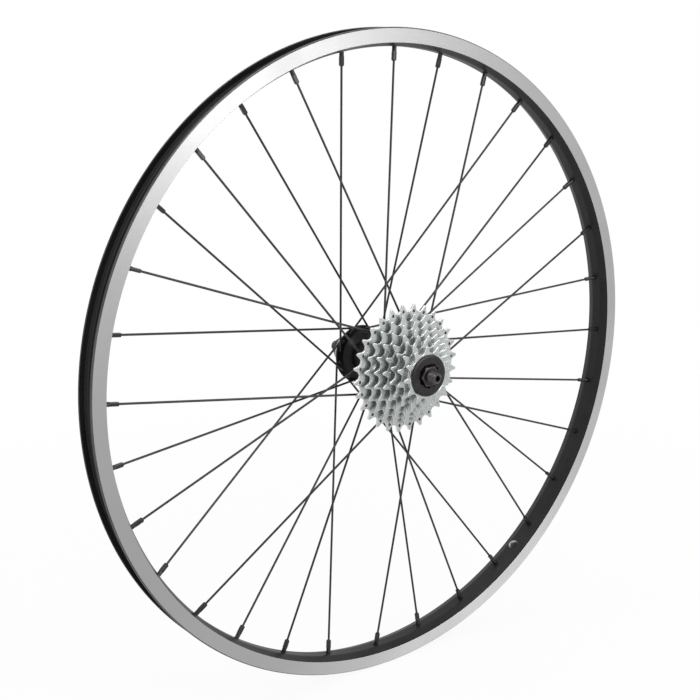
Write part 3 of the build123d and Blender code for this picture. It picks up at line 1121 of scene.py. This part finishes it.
@dataclass
class HubShell:
    """Black hub shell with two drilled flanges and a bare splined boss."""

    flange_drive_y: float = -24.2
    flange_left_y: float = 36.8
    flange_half: float = 1.1
    flange_radius: float = 27.2
    root_radius: float = 20.6
    barrel_radius: float = 15.2
    flare: float = 5.0
    drive_end_y: float = -28.6
    drive_radius: float = 21.8
    housing_y: float = -20.0
    seat_drive: float = 19.92
    seat_bearing: float = 13.02
    ratchet_seat_y: float = -21.2
    bore_radius: float = 7.2
    bearing_drive_y: float = -12.0
    bearing_left_y: float = 45.0
    shoulder_y: float = 44.5
    boss_end_y: float = 54.0
    boss_tip: float = 17.1
    boss_root: float = 16.4
    boss_splines: int = 52
    seat_round: float = 0.2
    edge_round: float = 0.5
    drive_fillet: float = 0.6
    housing_round: float = 1.5
    waist_round: float = 3.0
    inner_fillet: float = 1.2
    outer_fillet: float = 0.8
    shoulder_round: float = 0.6
    bore_round: float = 0.3
    boss_overlap: float = 1.0
    boss_chamfer: float = 0.5
    boss_chamfer_width: float = 0.6
    ridge_share: float = 0.28
    shoulder_step: float = 0.02
    hole_radius: float = 1.25
    hole_margin: float = 1.0
    hole_sides: int = 16
    segments: int = 160

    def build(self, lacing: Lacing) -> bpy.types.Object:
        """Turn the shell, drill its flanges and cut the boss.

        Args:
            lacing: Spokes whose holes it has.

        Returns:
            The piece.
        """
        drive, left, half = self.flange_drive_y, self.flange_left_y, self.flange_half
        waist_left = left - half - self.flare
        outside = [
            (self.seat_drive, self.drive_end_y, self.seat_round),
            (self.drive_radius, self.drive_end_y, self.edge_round),
            (self.drive_radius, drive - half, self.edge_round),
            (self.flange_radius, drive - half, self.edge_round),
            (self.flange_radius, drive + half, self.edge_round),
            (self.drive_radius, drive + half, self.drive_fillet),
            (self.drive_radius, self.housing_y, self.housing_round),
            (self.barrel_radius, self.housing_y + self.flare, self.waist_round),
            (self.barrel_radius, waist_left, self.waist_round),
            (self.root_radius, left - half, self.inner_fillet),
            (self.flange_radius, left - half, self.edge_round),
            (self.flange_radius, left + half, self.edge_round),
            (self.root_radius, left + half, self.outer_fillet),
            (self.root_radius, self.shoulder_y, self.shoulder_round),
            (self.boss_tip - self.boss_overlap, self.shoulder_y, 0.0),
            (self.boss_tip - self.boss_overlap, self.shoulder_y + self.shoulder_step, 0.0),
        ]
        inside = [
            (self.seat_bearing, self.bearing_left_y, 0.0),
            (self.bore_radius, self.bearing_left_y, self.bore_round),
            (self.bore_radius, self.bearing_drive_y, self.bore_round),
            (self.seat_bearing, self.bearing_drive_y, 0.0),
            (self.seat_bearing, self.ratchet_seat_y, self.bore_round),
            (self.seat_drive, self.ratchet_seat_y, 0.0),
        ]
        turned = bmesh.new()
        lathe(turned, soften(outside + inside), self.segments)
        holes = bmesh.new()
        for spoke in lacing.spokes():
            start = spoke.head - spoke.stub_way * self.hole_margin
            end = spoke.head + spoke.stub_way * (2 * half + self.hole_margin)
            loft(holes, tube_rings((start, end), (self.hole_radius,) * 2, self.hole_sides))
        materials = [HUB_BLACK.material(), BOSS_BARE.material()]
        blank, cutter = shaded_mesh("hub_blank", turned), shaded_mesh("hub_holes", holes)
        shell = drilled(blank, cutter, materials)
        whole = bmesh.new()
        whole.from_mesh(shell)
        bmesh.ops.scale(whole, vec=(1 / MM,) * 3, verts=whole.verts)
        self._add_boss(whole)
        data = shaded_mesh("hub_shell_turned", whole)
        return place_piece(
            "hub_shell_turned", data, Body.WHEEL, "hub_shell", materials
        )

    def _add_boss(self, mesh: bmesh.types.BMesh) -> None:
        """Cut the ridges of the boss.

        Args:
            mesh: Mesh of the shell.
        """
        chamfer_y = self.boss_end_y - self.boss_chamfer_width
        ridge = (
            (0.0, self.boss_tip), (self.ridge_share, self.boss_tip),
            (0.5, self.boss_root), (0.5 + self.ridge_share, self.boss_root),
        )
        rings = []
        for y, cut in (
            (self.shoulder_y, 0.0), (chamfer_y, 0.0), (self.boss_end_y, self.boss_chamfer),
        ):
            ring = []
            for spline in range(self.boss_splines):
                for share, radius in ridge:
                    angle = (spline + share) * 360.0 / self.boss_splines
                    ring.append(mesh.verts.new(polar(radius - cut, angle, y)))
            rings.append(ring)
        count = len(rings[0])
        for y in (self.boss_end_y, self.bearing_left_y):
            bore = [polar(self.seat_bearing, 360.0 * place / count, y) for place in range(count)]
            rings.append([mesh.verts.new(point) for point in bore])
        for band in skin(mesh, rings, closed=True):
            for face in band:
                face.material_index = HubFinish.BOSS


@dataclass
class Cassette:
    """Stack of sprockets on the freehub, each a plate with its own spacer boss."""

    tooth_counts: tuple[int, ...] = (28, 24, 21, 18, 16, 14, 12)
    tooth_phases: tuple[float, ...] = (4.12, 9.0, 2.0, 13.0, 6.0, 11.0, 3.0)
    chain_pitch: float = 12.7
    seat_radius: float = 4.0
    seat_sweep: float = 58.0
    tip_rise: float = 2.3
    tip_half_width: float = 1.05
    thickness: float = 1.8
    pitch: float = 5.0
    first_y: float = -31.5
    boss_radius: float = 19.6
    bore_radius: float = 17.32
    key_reach: float = 16.47
    key_width: float = 4.6
    keys: int = 9
    edge_round: float = 0.32
    pit_radius: float = 1.6
    pit_reach: float = 6.3
    pit_depth: float = 1.4
    ramp_count: int = 5
    ramp_radius: float = 9.0
    ramp_depth: float = 0.45
    ramp_length: float = 9.0
    ramp_lean: float = 28.0
    flat_share: float = 0.9
    tip_shape: tuple[tuple[float, float], ...] = (
        (-1.0, 0.25), (-0.55, 0.0), (0.55, 0.0), (1.0, 0.25),
    )
    gate_every: int = 7
    gate_tooth: int = 3
    gate_drop: float = 0.55
    seat_chords: int = 12
    pit_sides: int = 14
    ramp_drop: float = 2.2
    ramp_sides: int = 40
    boss_sides: int = 72
    spacer_round: float = 0.15
    cut_margin: float = 1.0
    sharp_angle: float = 40.0

    def build(self) -> list[bpy.types.Object]:
        """Cut and dress the sprockets.

        Returns:
            The pieces.
        """
        pieces = []
        for index, teeth in enumerate(self.tooth_counts):
            node = f"sprocket_{teeth}"
            data = self._plate(node, index)
            pieces.append(place_piece(node + "_cut", data, Body.FREEHUB, node))
        return pieces

    def _outline(self, index: int) -> Profile:
        """Outline of a sprocket's teeth.

        Args:
            index: Place in the stack.

        Returns:
            Points round the axle.
        """
        teeth = self.tooth_counts[index]
        step = 360.0 / teeth
        pitch_radius = self._pitch_radius(index)
        tip_radius = pitch_radius + self.tip_rise
        points = []
        for tooth in range(teeth):
            tip_angle = self.tooth_phases[index] + tooth * step
            low = self.gate_drop if tooth % self.gate_every == self.gate_tooth else 0.0
            for share, drop in self.tip_shape:
                turn = math.degrees(self.tip_half_width * share / tip_radius)
                points.append(polar(tip_radius - drop - low, tip_angle + turn))
            seat_angle = tip_angle + step / 2
            centre = polar(pitch_radius, seat_angle)
            for chord in range(self.seat_chords + 1):
                swing = self.seat_sweep * (1 - 2 * chord / self.seat_chords)
                points.append(centre + polar(self.seat_radius, seat_angle + 180 + swing))
        return face_on(points)

    def _bore(self) -> Profile:
        """Outline of the bore with its keys.

        Returns:
            Points round the axle.
        """
        points = []
        half_key = math.degrees(math.asin(self.key_width / 2 / self.bore_radius))
        inner_half = math.degrees(math.asin(self.key_width / 2 / self.key_reach))
        step = 360.0 / self.keys
        for key in range(self.keys):
            angle = key * step
            for radius, turn in (
                (self.bore_radius, -half_key), (self.key_reach, -inner_half),
                (self.key_reach, inner_half), (self.bore_radius, half_key),
            ):
                points.append(polar(radius, angle + turn))
            for share in (0.25, 0.5, 0.75):
                turn = half_key + (step - 2 * half_key) * share
                points.append(polar(self.bore_radius, angle + turn))
        return face_on(points)

    def _pits(self) -> bpy.types.Mesh:
        """Blind pits under the teeth of the largest sprocket.

        Returns:
            The cutter in metres.
        """
        teeth = self.tooth_counts[0]
        face_y = self.first_y - self.thickness
        reach = self._pitch_radius(0) + self.tip_rise - self.pit_reach
        mesh = bmesh.new()
        for tooth in range(teeth):
            centre = polar(reach, self.tooth_phases[0] + tooth * 360.0 / teeth, face_y)
            floor = centre + Vector((0, self.pit_depth, 0))
            ends = (floor, centre - Vector((0, self.cut_margin, 0)))
            rings = tube_rings(ends, (self.pit_radius,) * 2, self.pit_sides)
            # The pit walls take the darker painted shade finish.
            loft(mesh, rings, PlateFinish.PIT)
        return shaded_mesh("pits", mesh)

    def _ramps(self, index: int) -> bpy.types.Mesh:
        """Hollows in the face of a sprocket that lift the chain.

        Args:
            index: Place in the stack.

        Returns:
            The cutter in metres.
        """
        teeth = self.tooth_counts[index]
        face_y = self.first_y - index * self.pitch - self.thickness
        lift = self.ramp_radius - self.ramp_depth
        reach = self._pitch_radius(index) - self.seat_radius - self.ramp_drop
        mesh = bmesh.new()
        for ramp in range(self.ramp_count):
            tooth = round(ramp * teeth / self.ramp_count)
            angle = self.tooth_phases[index] + (tooth + 0.5) * 360.0 / teeth
            centre = polar(reach, angle, face_y - lift)
            half = polar(self.ramp_length / 2, angle + 90 - self.ramp_lean)
            ends = (centre - half, centre + half)
            loft(mesh, tube_rings(ends, (self.ramp_radius,) * 2, self.ramp_sides))
        return shaded_mesh("ramps", mesh)

    def _pitch_radius(self, index: int) -> float:
        """Radius on which the chain's rollers sit."""
        return self.chain_pitch / (2 * math.sin(math.pi / self.tooth_counts[index]))

    def _sheet(self, outlines: Sequence[Profile], thick: float, edge: float) -> bpy.types.Mesh:
        """Cut a flat plate with softened edges.

        Args:
            outlines: Outer edge and holes.
            thick: Thickness of the plate.
            edge: Rounding of the edges.

        Returns:
            The plate in millimetres, facing along the axle about its middle.
        """
        curve = bpy.data.curves.new("sheet", "CURVE")
        curve.dimensions = "2D"
        curve.fill_mode = "BOTH"
        curve.extrude = thick / 2 - edge
        curve.bevel_depth = edge
        curve.bevel_resolution = 1
        curve.offset = -edge
        for outline in outlines:
            spline = curve.splines.new("POLY")
            spline.points.add(len(outline) - 1)
            spline.use_cyclic_u = True
            for point, (x, z) in zip(spline.points, outline):
                point.co = (x, z, 0.0, 1.0)
        drawn = bpy.data.objects.new("sheet", curve)
        bpy.context.collection.objects.link(drawn)
        evaluated = drawn.evaluated_get(bpy.context.evaluated_depsgraph_get())
        data = bpy.data.meshes.new_from_object(evaluated)
        bpy.data.objects.remove(drawn)
        data.transform(Matrix.Rotation(math.radians(90), 4, "X"))
        return data

    def _finish_of(self, facing: float, index: int) -> int:
        """Tell the faces of a plate from its cut edge.

        Args:
            facing: Share of a face's normal that points to the left side.
            index: Place in the stack.

        Returns:
            Material index.
        """
        if abs(facing) < self.flat_share:
            return PlateFinish.CUT_EDGE
        # The backs take the pale spacer finish, painted fill light for the gaps.
        return PlateFinish.SPACER if facing > 0 and index > 0 else PlateFinish.FACE

    def _plate(self, name: str, index: int) -> bpy.types.Mesh:
        """Cut one sprocket with its spacer boss.

        Args:
            name: Name of the mesh.
            index: Place in the stack.

        Returns:
            The mesh in metres.
        """
        inner_y = self.first_y - index * self.pitch
        whole = bmesh.new()
        plate = self._sheet([self._outline(index), self._bore()], self.thickness, self.edge_round)
        plate.transform(Matrix.Translation((0, inner_y - self.thickness / 2, 0)))
        whole.from_mesh(plate)
        bmesh.ops.remove_doubles(whole, verts=whole.verts, dist=WELD_REACH)
        # The cut edges take a painted highlight, the pits painted shade, the backs and spacers
        # painted fill light.
        finishes = (PLATED_STEEL_AND_HIGHLIGHT, SPACER_GREY_AND_FILL, PIT_PAINTED_SHADE, PLATED_FACE)
        materials = [finish.material() for finish in finishes]
        cutter = self._ramps(index) if index > 0 else self._pits()
        cut = drilled(shaded_mesh(name, whole, self.sharp_angle), cutter, materials)
        for face in cut.polygons:
            if face.material_index == PlateFinish.CUT_EDGE:
                face.material_index = self._finish_of(face.normal.y, index)
        if index > 0:
            height = self.pitch - self.thickness
            turns = [360.0 * side / self.boss_sides for side in range(self.boss_sides)]
            rim = face_on(polar(self.boss_radius, turn) for turn in turns)
            boss = self._sheet([rim, self._bore()], height, self.spacer_round)
            boss.transform(Matrix.Translation((0, inner_y + height / 2, 0)))
            spacer = bmesh.new()
            spacer.from_mesh(boss)
            bmesh.ops.remove_doubles(spacer, verts=spacer.verts, dist=WELD_REACH)
            for face in spacer.faces:
                face.material_index = PlateFinish.SPACER
            both = bmesh.new()
            both.from_mesh(cut)
            both.from_mesh(shaded_mesh(name, spacer))
            both.to_mesh(cut)
            both.free()
        cut.shade_smooth()
        cut.set_sharp_from_angle(angle=math.radians(self.sharp_angle))
        return cut


@dataclass
class Axle:
    """Hollow axle with threaded ends."""

    half_length: float = 76.5
    nut_face: float = 67.5
    end_radius: float = 4.8
    radius: float = 5.0
    thread_depth: float = 0.42
    thread_pitch: float = 1.0
    shoulder_radius: float = 6.4
    shoulder_drive_y: float = -12.0
    shoulder_left_y: float = 45.0
    bore: float = 2.7
    bore_edge: float = 0.3
    chamfer: float = 0.8
    thread_steps: int = 8
    crest_rise: float = 1.25
    sharp_angle: float = 38.0
    segments: int = 64

    def build(self) -> bpy.types.Object:
        """Turn the axle and cut the threads of its ends.

        Returns:
            The piece.
        """
        places = self._places()
        mesh = bmesh.new()
        rings = []
        for step in range(self.segments):
            angle = 360.0 * step / self.segments
            ring = [polar(self._thread(radius, y, step), angle, y) for radius, y in places]
            rings.append([mesh.verts.new(point) for point in ring])
        skin(mesh, rings, closed=True)
        data = shaded_mesh("axle_threaded", mesh, self.sharp_angle)
        oxide = [WORN_OXIDE_AND_SHEEN.material()]
        return place_piece("axle_threaded", data, Body.AXLE_SET, "axle", oxide)

    def _places(self) -> Profile:
        """Closed profile with close points on the threaded ends.

        Returns:
            Radius and place along the axle of each point.
        """
        end = self.half_length - self.chamfer
        steps = round((end - self.nut_face) / self.thread_pitch * self.thread_steps)
        run = [self.nut_face + (end - self.nut_face) * step / steps for step in range(steps + 1)]
        drive = [(self.end_radius, -y) for y in reversed(run)]
        left = [(self.end_radius, y) for y in run]
        return [
            (self.bore, -self.half_length),
            (self.bore + self.bore_edge, -self.half_length),
            (self.end_radius - self.chamfer, -self.half_length),
            *drive,
            (self.radius, -self.nut_face),
            (self.radius, self.shoulder_drive_y),
            (self.shoulder_radius, self.shoulder_drive_y),
            (self.shoulder_radius, self.shoulder_left_y),
            (self.radius, self.shoulder_left_y),
            (self.radius, self.nut_face),
            *left,
            (self.end_radius - self.chamfer, self.half_length),
            (self.bore + self.bore_edge, self.half_length),
            (self.bore, self.half_length),
        ]

    def _thread(self, radius: float, y: float, step: int) -> float:
        """Radius of the threaded surface at a place.

        Args:
            radius: Radius of the crest.
            y: Place along the axle.
            step: Segment round the axle.

        Returns:
            The radius there.
        """
        if radius != self.end_radius or abs(y) >= self.half_length - self.chamfer:
            return radius
        phase = (y / self.thread_pitch + step / self.segments) % 1.0
        rise = 1.0 - abs(2 * phase - 1.0)
        return radius - self.thread_depth * (1.0 - min(1.0, rise * self.crest_rise))


@dataclass
class Lockring:
    """Flanged ring with a notched bore that holds the sprockets on."""

    face_y: float = -64.95
    seat_y: float = -63.3
    skirt_y: float = -59.1
    radius: float = 18.8
    edge: float = 0.3
    bevel: float = 1.9
    bevel_drop: float = 0.4
    undercut: float = 0.8
    bore: float = 10.8
    thread_radius: float = 15.15
    notches: int = 12
    notch_depth: float = 0.9
    notch_width: float = 2.4
    bore_round: float = 0.25
    bevel_round: float = 0.4
    edge_round: float = 0.1
    skirt_round: float = 0.2
    cut_margin: float = 1.0
    segments: int = 144

    def build(self) -> bpy.types.Object:
        """Turn the ring and cut its notches.

        Returns:
            The piece.
        """
        profile = soften(
            [
                (self.bore, self.face_y, self.bore_round),
                (self.radius - self.bevel, self.face_y, self.bevel_round),
                (self.radius - self.edge, self.face_y + self.bevel_drop, self.edge_round),
                (self.radius, self.face_y + self.bevel_drop + self.edge, self.edge_round),
                (self.radius - self.undercut, self.seat_y, self.edge_round),
                (self.thread_radius, self.seat_y, 0.0),
                (self.thread_radius, self.skirt_y, self.skirt_round),
                (self.bore, self.skirt_y, self.skirt_round),
            ]
        )
        turned = bmesh.new()
        lathe(turned, profile, self.segments)
        cuts = bmesh.new()
        half = self.notch_width / 2
        for notch in range(self.notches):
            angle = 360.0 * notch / self.notches
            out, along = polar(1, angle), polar(1, angle + 90)
            near, far = self.bore - self.notch_depth, self.bore + self.notch_depth
            corners = [
                out * reach + along * side
                for reach, side in ((near, -half), (far, -half), (far, half), (near, half))
            ]
            ends = (self.face_y - self.cut_margin, self.skirt_y + self.cut_margin)
            loft(cuts, [[corner + Vector((0, y, 0)) for corner in corners] for y in ends])
        oxide = [BLACK_OXIDE.material()]
        data = drilled(shaded_mesh("lockring_blank", turned), shaded_mesh("notches", cuts), oxide)
        return place_piece("lockring_turned", data, Body.FREEHUB, "lockring")


@dataclass
class Locknut:
    """Hexagonal nut with its outer corners turned off."""

    node: str
    side: Side
    end_y: float = 67.5
    width: float = 6.0
    flats: float = 17.0
    face_radius: float = 8.015
    cone_slope: float = 2.0
    bore: float = 5.02
    bore_edge: float = 0.4
    cone_steps: int = 8
    sides: int = 72

    def build(self) -> bpy.types.Object:
        """Draw the nut ring by ring.

        Returns:
            The piece.
        """
        corner = self.flats / math.sqrt(3)
        corner_depth = (corner - self.face_radius) / self.cone_slope
        depths = [corner_depth * step / self.cone_steps for step in range(self.cone_steps + 1)]
        depths.append(self.width)
        rings = [self._ring(self.bore + self.bore_edge, 0.0)]
        for depth in depths:
            rings.append(self._ring(self.face_radius + self.cone_slope * depth, depth))
        rings.append(self._ring(self.bore, self.width))
        rings.append(self._ring(self.bore, self.bore_edge))
        mesh = bmesh.new()
        loops = [[mesh.verts.new(point) for point in ring] for ring in rings]
        for place, band in enumerate(skin(mesh, loops, closed=True)):
            on_cone = 1 <= place <= self.cone_steps
            for face in band:
                face.material_index = NutFinish.CONE if on_cone else NutFinish.PLAIN
        data = shaded_mesh(self.node + "_turned", mesh)
        # The turned cone takes the lighter oxide, a painted highlight on the chamfer.
        finishes = [BLACK_OXIDE.material(), WORN_OXIDE_AND_SHEEN.material()]
        return place_piece(
            self.node + "_turned", data, Body.AXLE_SET, self.node, finishes
        )

    def _ring(self, limit: float, depth: float) -> list[Vector]:
        """Section of the nut.

        Args:
            limit: Radius to which the corners are turned.
            depth: Distance from the outer face.

        Returns:
            Points round the axle.
        """
        points = []
        for step in range(self.sides):
            angle = 360.0 * step / self.sides
            across = self.flats / 2 / math.cos(math.radians(angle % 60 - 30))
            y = self.side.value * (self.end_y - depth)
            points.append(polar(min(limit, across), angle, y))
        return points


@dataclass
class TurnedParts:
    """Solids whose own shape stays, given their finish."""

    hub_races: tuple[float, float] = (6.6, 11.4)
    freehub_races: tuple[float, float] = (6.4, 9.8)

    def dress(self) -> None:
        """Give each remaining solid its material."""
        hub_seal = SealFinish("hub bearing seal", *self.hub_races).material()
        freehub_seal = SealFinish("freehub bearing seal", *self.freehub_races).material()
        finishes = {
            "hub_bearing_left": hub_seal,
            "hub_bearing_drive": hub_seal,
            "freehub_bearing_inner": freehub_seal,
            "freehub_bearing_outer": freehub_seal,
            "end_cap_left": BLACK_OXIDE.material(),
            "end_spacer_drive": BLACK_OXIDE.material(),
            "freehub_body": HARD_STEEL.material(),
            "ratchet_ring": HARD_STEEL.material(),
            "pawl_a": HARD_STEEL.material(),
            "pawl_b": HARD_STEEL.material(),
            "pawl_springs": HARD_STEEL.material(),
        }
        for node, material in finishes.items():
            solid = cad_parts[node]
            solid.data.materials.clear()
            solid.data.materials.append(material)
            LOG.info("%s: %s", node, material.name)


@dataclass(frozen=True)
class Lamp:
    """A square soft lamp that points at the wheel."""

    name: str
    place: tuple[float, float, float]
    size: float
    power: float

    def hang(self) -> None:
        """Add the lamp to the scene."""
        data = bpy.data.lights.new(self.name, "AREA")
        data.size = self.size
        data.energy = self.power
        lamp = bpy.data.objects.new(self.name, data)
        lamp.location = self.place
        lamp.rotation_euler = (-Vector(self.place)).to_track_quat("-Z", "Y").to_euler()
        bpy.context.collection.objects.link(lamp)


@dataclass
class Studio:
    """Pale floor, soft lamps and the camera of the photograph."""

    floor_z: float = -0.2984
    reach: float = 1.177853
    azimuth: float = -38.06
    elevation: float = 14.85
    yaw: float = -1.51
    pitch: float = 0.50
    focal_pixels: float = 1280.37
    picture_width: int = 700
    sensor: float = 36.0
    lamps: tuple[Lamp, ...] = (
        Lamp("front", (0.935, -2.15, 0.50), 1.1, 27.0),
        Lamp("key", (-0.75, -1.6, 2.1), 1.0, 12.0),
        Lamp("top", (-0.2, 0.3, 2.4), 1.6, 14.0),
    )
    floor_reach: float = 12.0
    floor_tone: Colour = (0.9, 0.9, 0.9)
    shadow_start: float = 0.2
    shadow_end: float = 1.2
    shadow_glow: float = 0.93
    world_strength: float = 0.55

    def build(self) -> None:
        """Set the floor, the lamps, the world and the camera."""
        self._floor()
        self._world()
        for lamp in self.lamps:
            lamp.hang()
        self._camera()
        bpy.context.scene.view_settings.view_transform = "Standard"

    def _seen(self, board: NodeBoard) -> bpy.types.NodeSocket:
        """Mask of the rays that see the background.

        Args:
            board: Tree that takes the nodes.

        Returns:
            1 for camera, glossy and transmission rays.
        """
        path = board.add("ShaderNodeLightPath")
        seen = board.math("MAXIMUM", path.outputs["Is Camera Ray"], path.outputs["Is Glossy Ray"])
        return board.math("MAXIMUM", seen, path.outputs["Is Transmission Ray"])

    def _floor(self) -> None:
        """Lay a pale floor that keeps a faint shadow."""
        mesh = bmesh.new()
        bmesh.ops.create_grid(mesh, x_segments=1, y_segments=1, size=self.floor_reach)
        data = bpy.data.meshes.new("floor")
        mesh.to_mesh(data)
        mesh.free()
        floor = bpy.data.objects.new("floor", data)
        floor.location.z = self.floor_z
        bpy.context.collection.objects.link(floor)
        material = bpy.data.materials.new("pale floor")
        material.use_nodes = True
        board = NodeBoard(material.node_tree)
        matte = board.add("ShaderNodeBsdfDiffuse")
        matte.inputs["Color"].default_value = (*self.floor_tone, 1.0)
        glow = board.add("ShaderNodeEmission")
        mix = board.add("ShaderNodeMixShader")
        distance = board.add("ShaderNodeVectorMath", operation="LENGTH")
        board.join(board.place(), distance.inputs[0])
        far = board.add("ShaderNodeMapRange", interpolation_type="SMOOTHSTEP")
        board.join(distance.outputs["Value"], far.inputs["Value"])
        far.inputs["From Min"].default_value = self.shadow_start
        far.inputs["From Max"].default_value = self.shadow_end
        far.inputs["To Min"].default_value = self.shadow_glow
        board.join(board.math("MULTIPLY", self._seen(board), far.outputs[0]), mix.inputs["Fac"])
        board.join(matte.outputs[0], mix.inputs[1])
        board.join(glow.outputs[0], mix.inputs[2])
        board.join(mix.outputs[0], board.add("ShaderNodeOutputMaterial").inputs["Surface"])
        data.materials.append(material)

    def _world(self) -> None:
        """Light the scene evenly, with a white background for the rays that see it."""
        world = bpy.data.worlds.new("studio")
        world.use_nodes = True
        board = NodeBoard(world.node_tree)
        soft = board.add("ShaderNodeBackground")
        soft.inputs["Strength"].default_value = self.world_strength
        white = board.add("ShaderNodeBackground")
        mix = board.add("ShaderNodeMixShader")
        board.join(self._seen(board), mix.inputs["Fac"])
        board.join(soft.outputs[0], mix.inputs[1])
        board.join(white.outputs[0], mix.inputs[2])
        for background in (soft, white):
            background.inputs["Color"].default_value = (1.0, 1.0, 1.0, 1.0)
        board.join(mix.outputs[0], board.add("ShaderNodeOutputWorld").inputs["Surface"])
        bpy.context.scene.world = world

    def _camera(self) -> None:
        """Stand the camera where the photograph was taken."""
        turn, rise = math.radians(self.azimuth), math.radians(self.elevation)
        back = Vector(
            (math.sin(turn) * math.cos(rise), -math.cos(turn) * math.cos(rise), math.sin(rise))
        )
        ahead = -back
        right = ahead.cross(Vector((0, 0, 1))).normalized()
        up = right.cross(ahead)
        yaw, pitch = math.radians(self.yaw), math.radians(self.pitch)
        swung = ahead * math.cos(yaw) + right * math.sin(yaw)
        right = right * math.cos(yaw) - ahead * math.sin(yaw)
        look = swung * math.cos(pitch) + up * math.sin(pitch)
        up = up * math.cos(pitch) - swung * math.sin(pitch)
        data = bpy.data.cameras.new("camera")
        data.sensor_width = self.sensor
        data.lens = self.sensor * self.focal_pixels / self.picture_width
        camera = bpy.data.objects.new("camera", data)
        bpy.context.collection.objects.link(camera)
        pose = Matrix((right, up, -look)).transposed().to_4x4()
        pose.translation = back * self.reach
        camera.matrix_world = pose
        bpy.context.scene.camera = camera


def main() -> None:
    """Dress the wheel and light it."""
    logging.basicConfig(level=logging.INFO)
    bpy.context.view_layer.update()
    lacing = Lacing()
    Rim().build(lacing)
    lacing.build()
    HubShell().build(lacing)
    Cassette().build()
    Lockring().build()
    Axle().build()
    Locknut("locknut_left", Side.LEFT).build()
    Locknut("locknut_drive", Side.DRIVE).build()
    TurnedParts().dress()
    Studio().build()


if __name__ == "__main__":
    main()
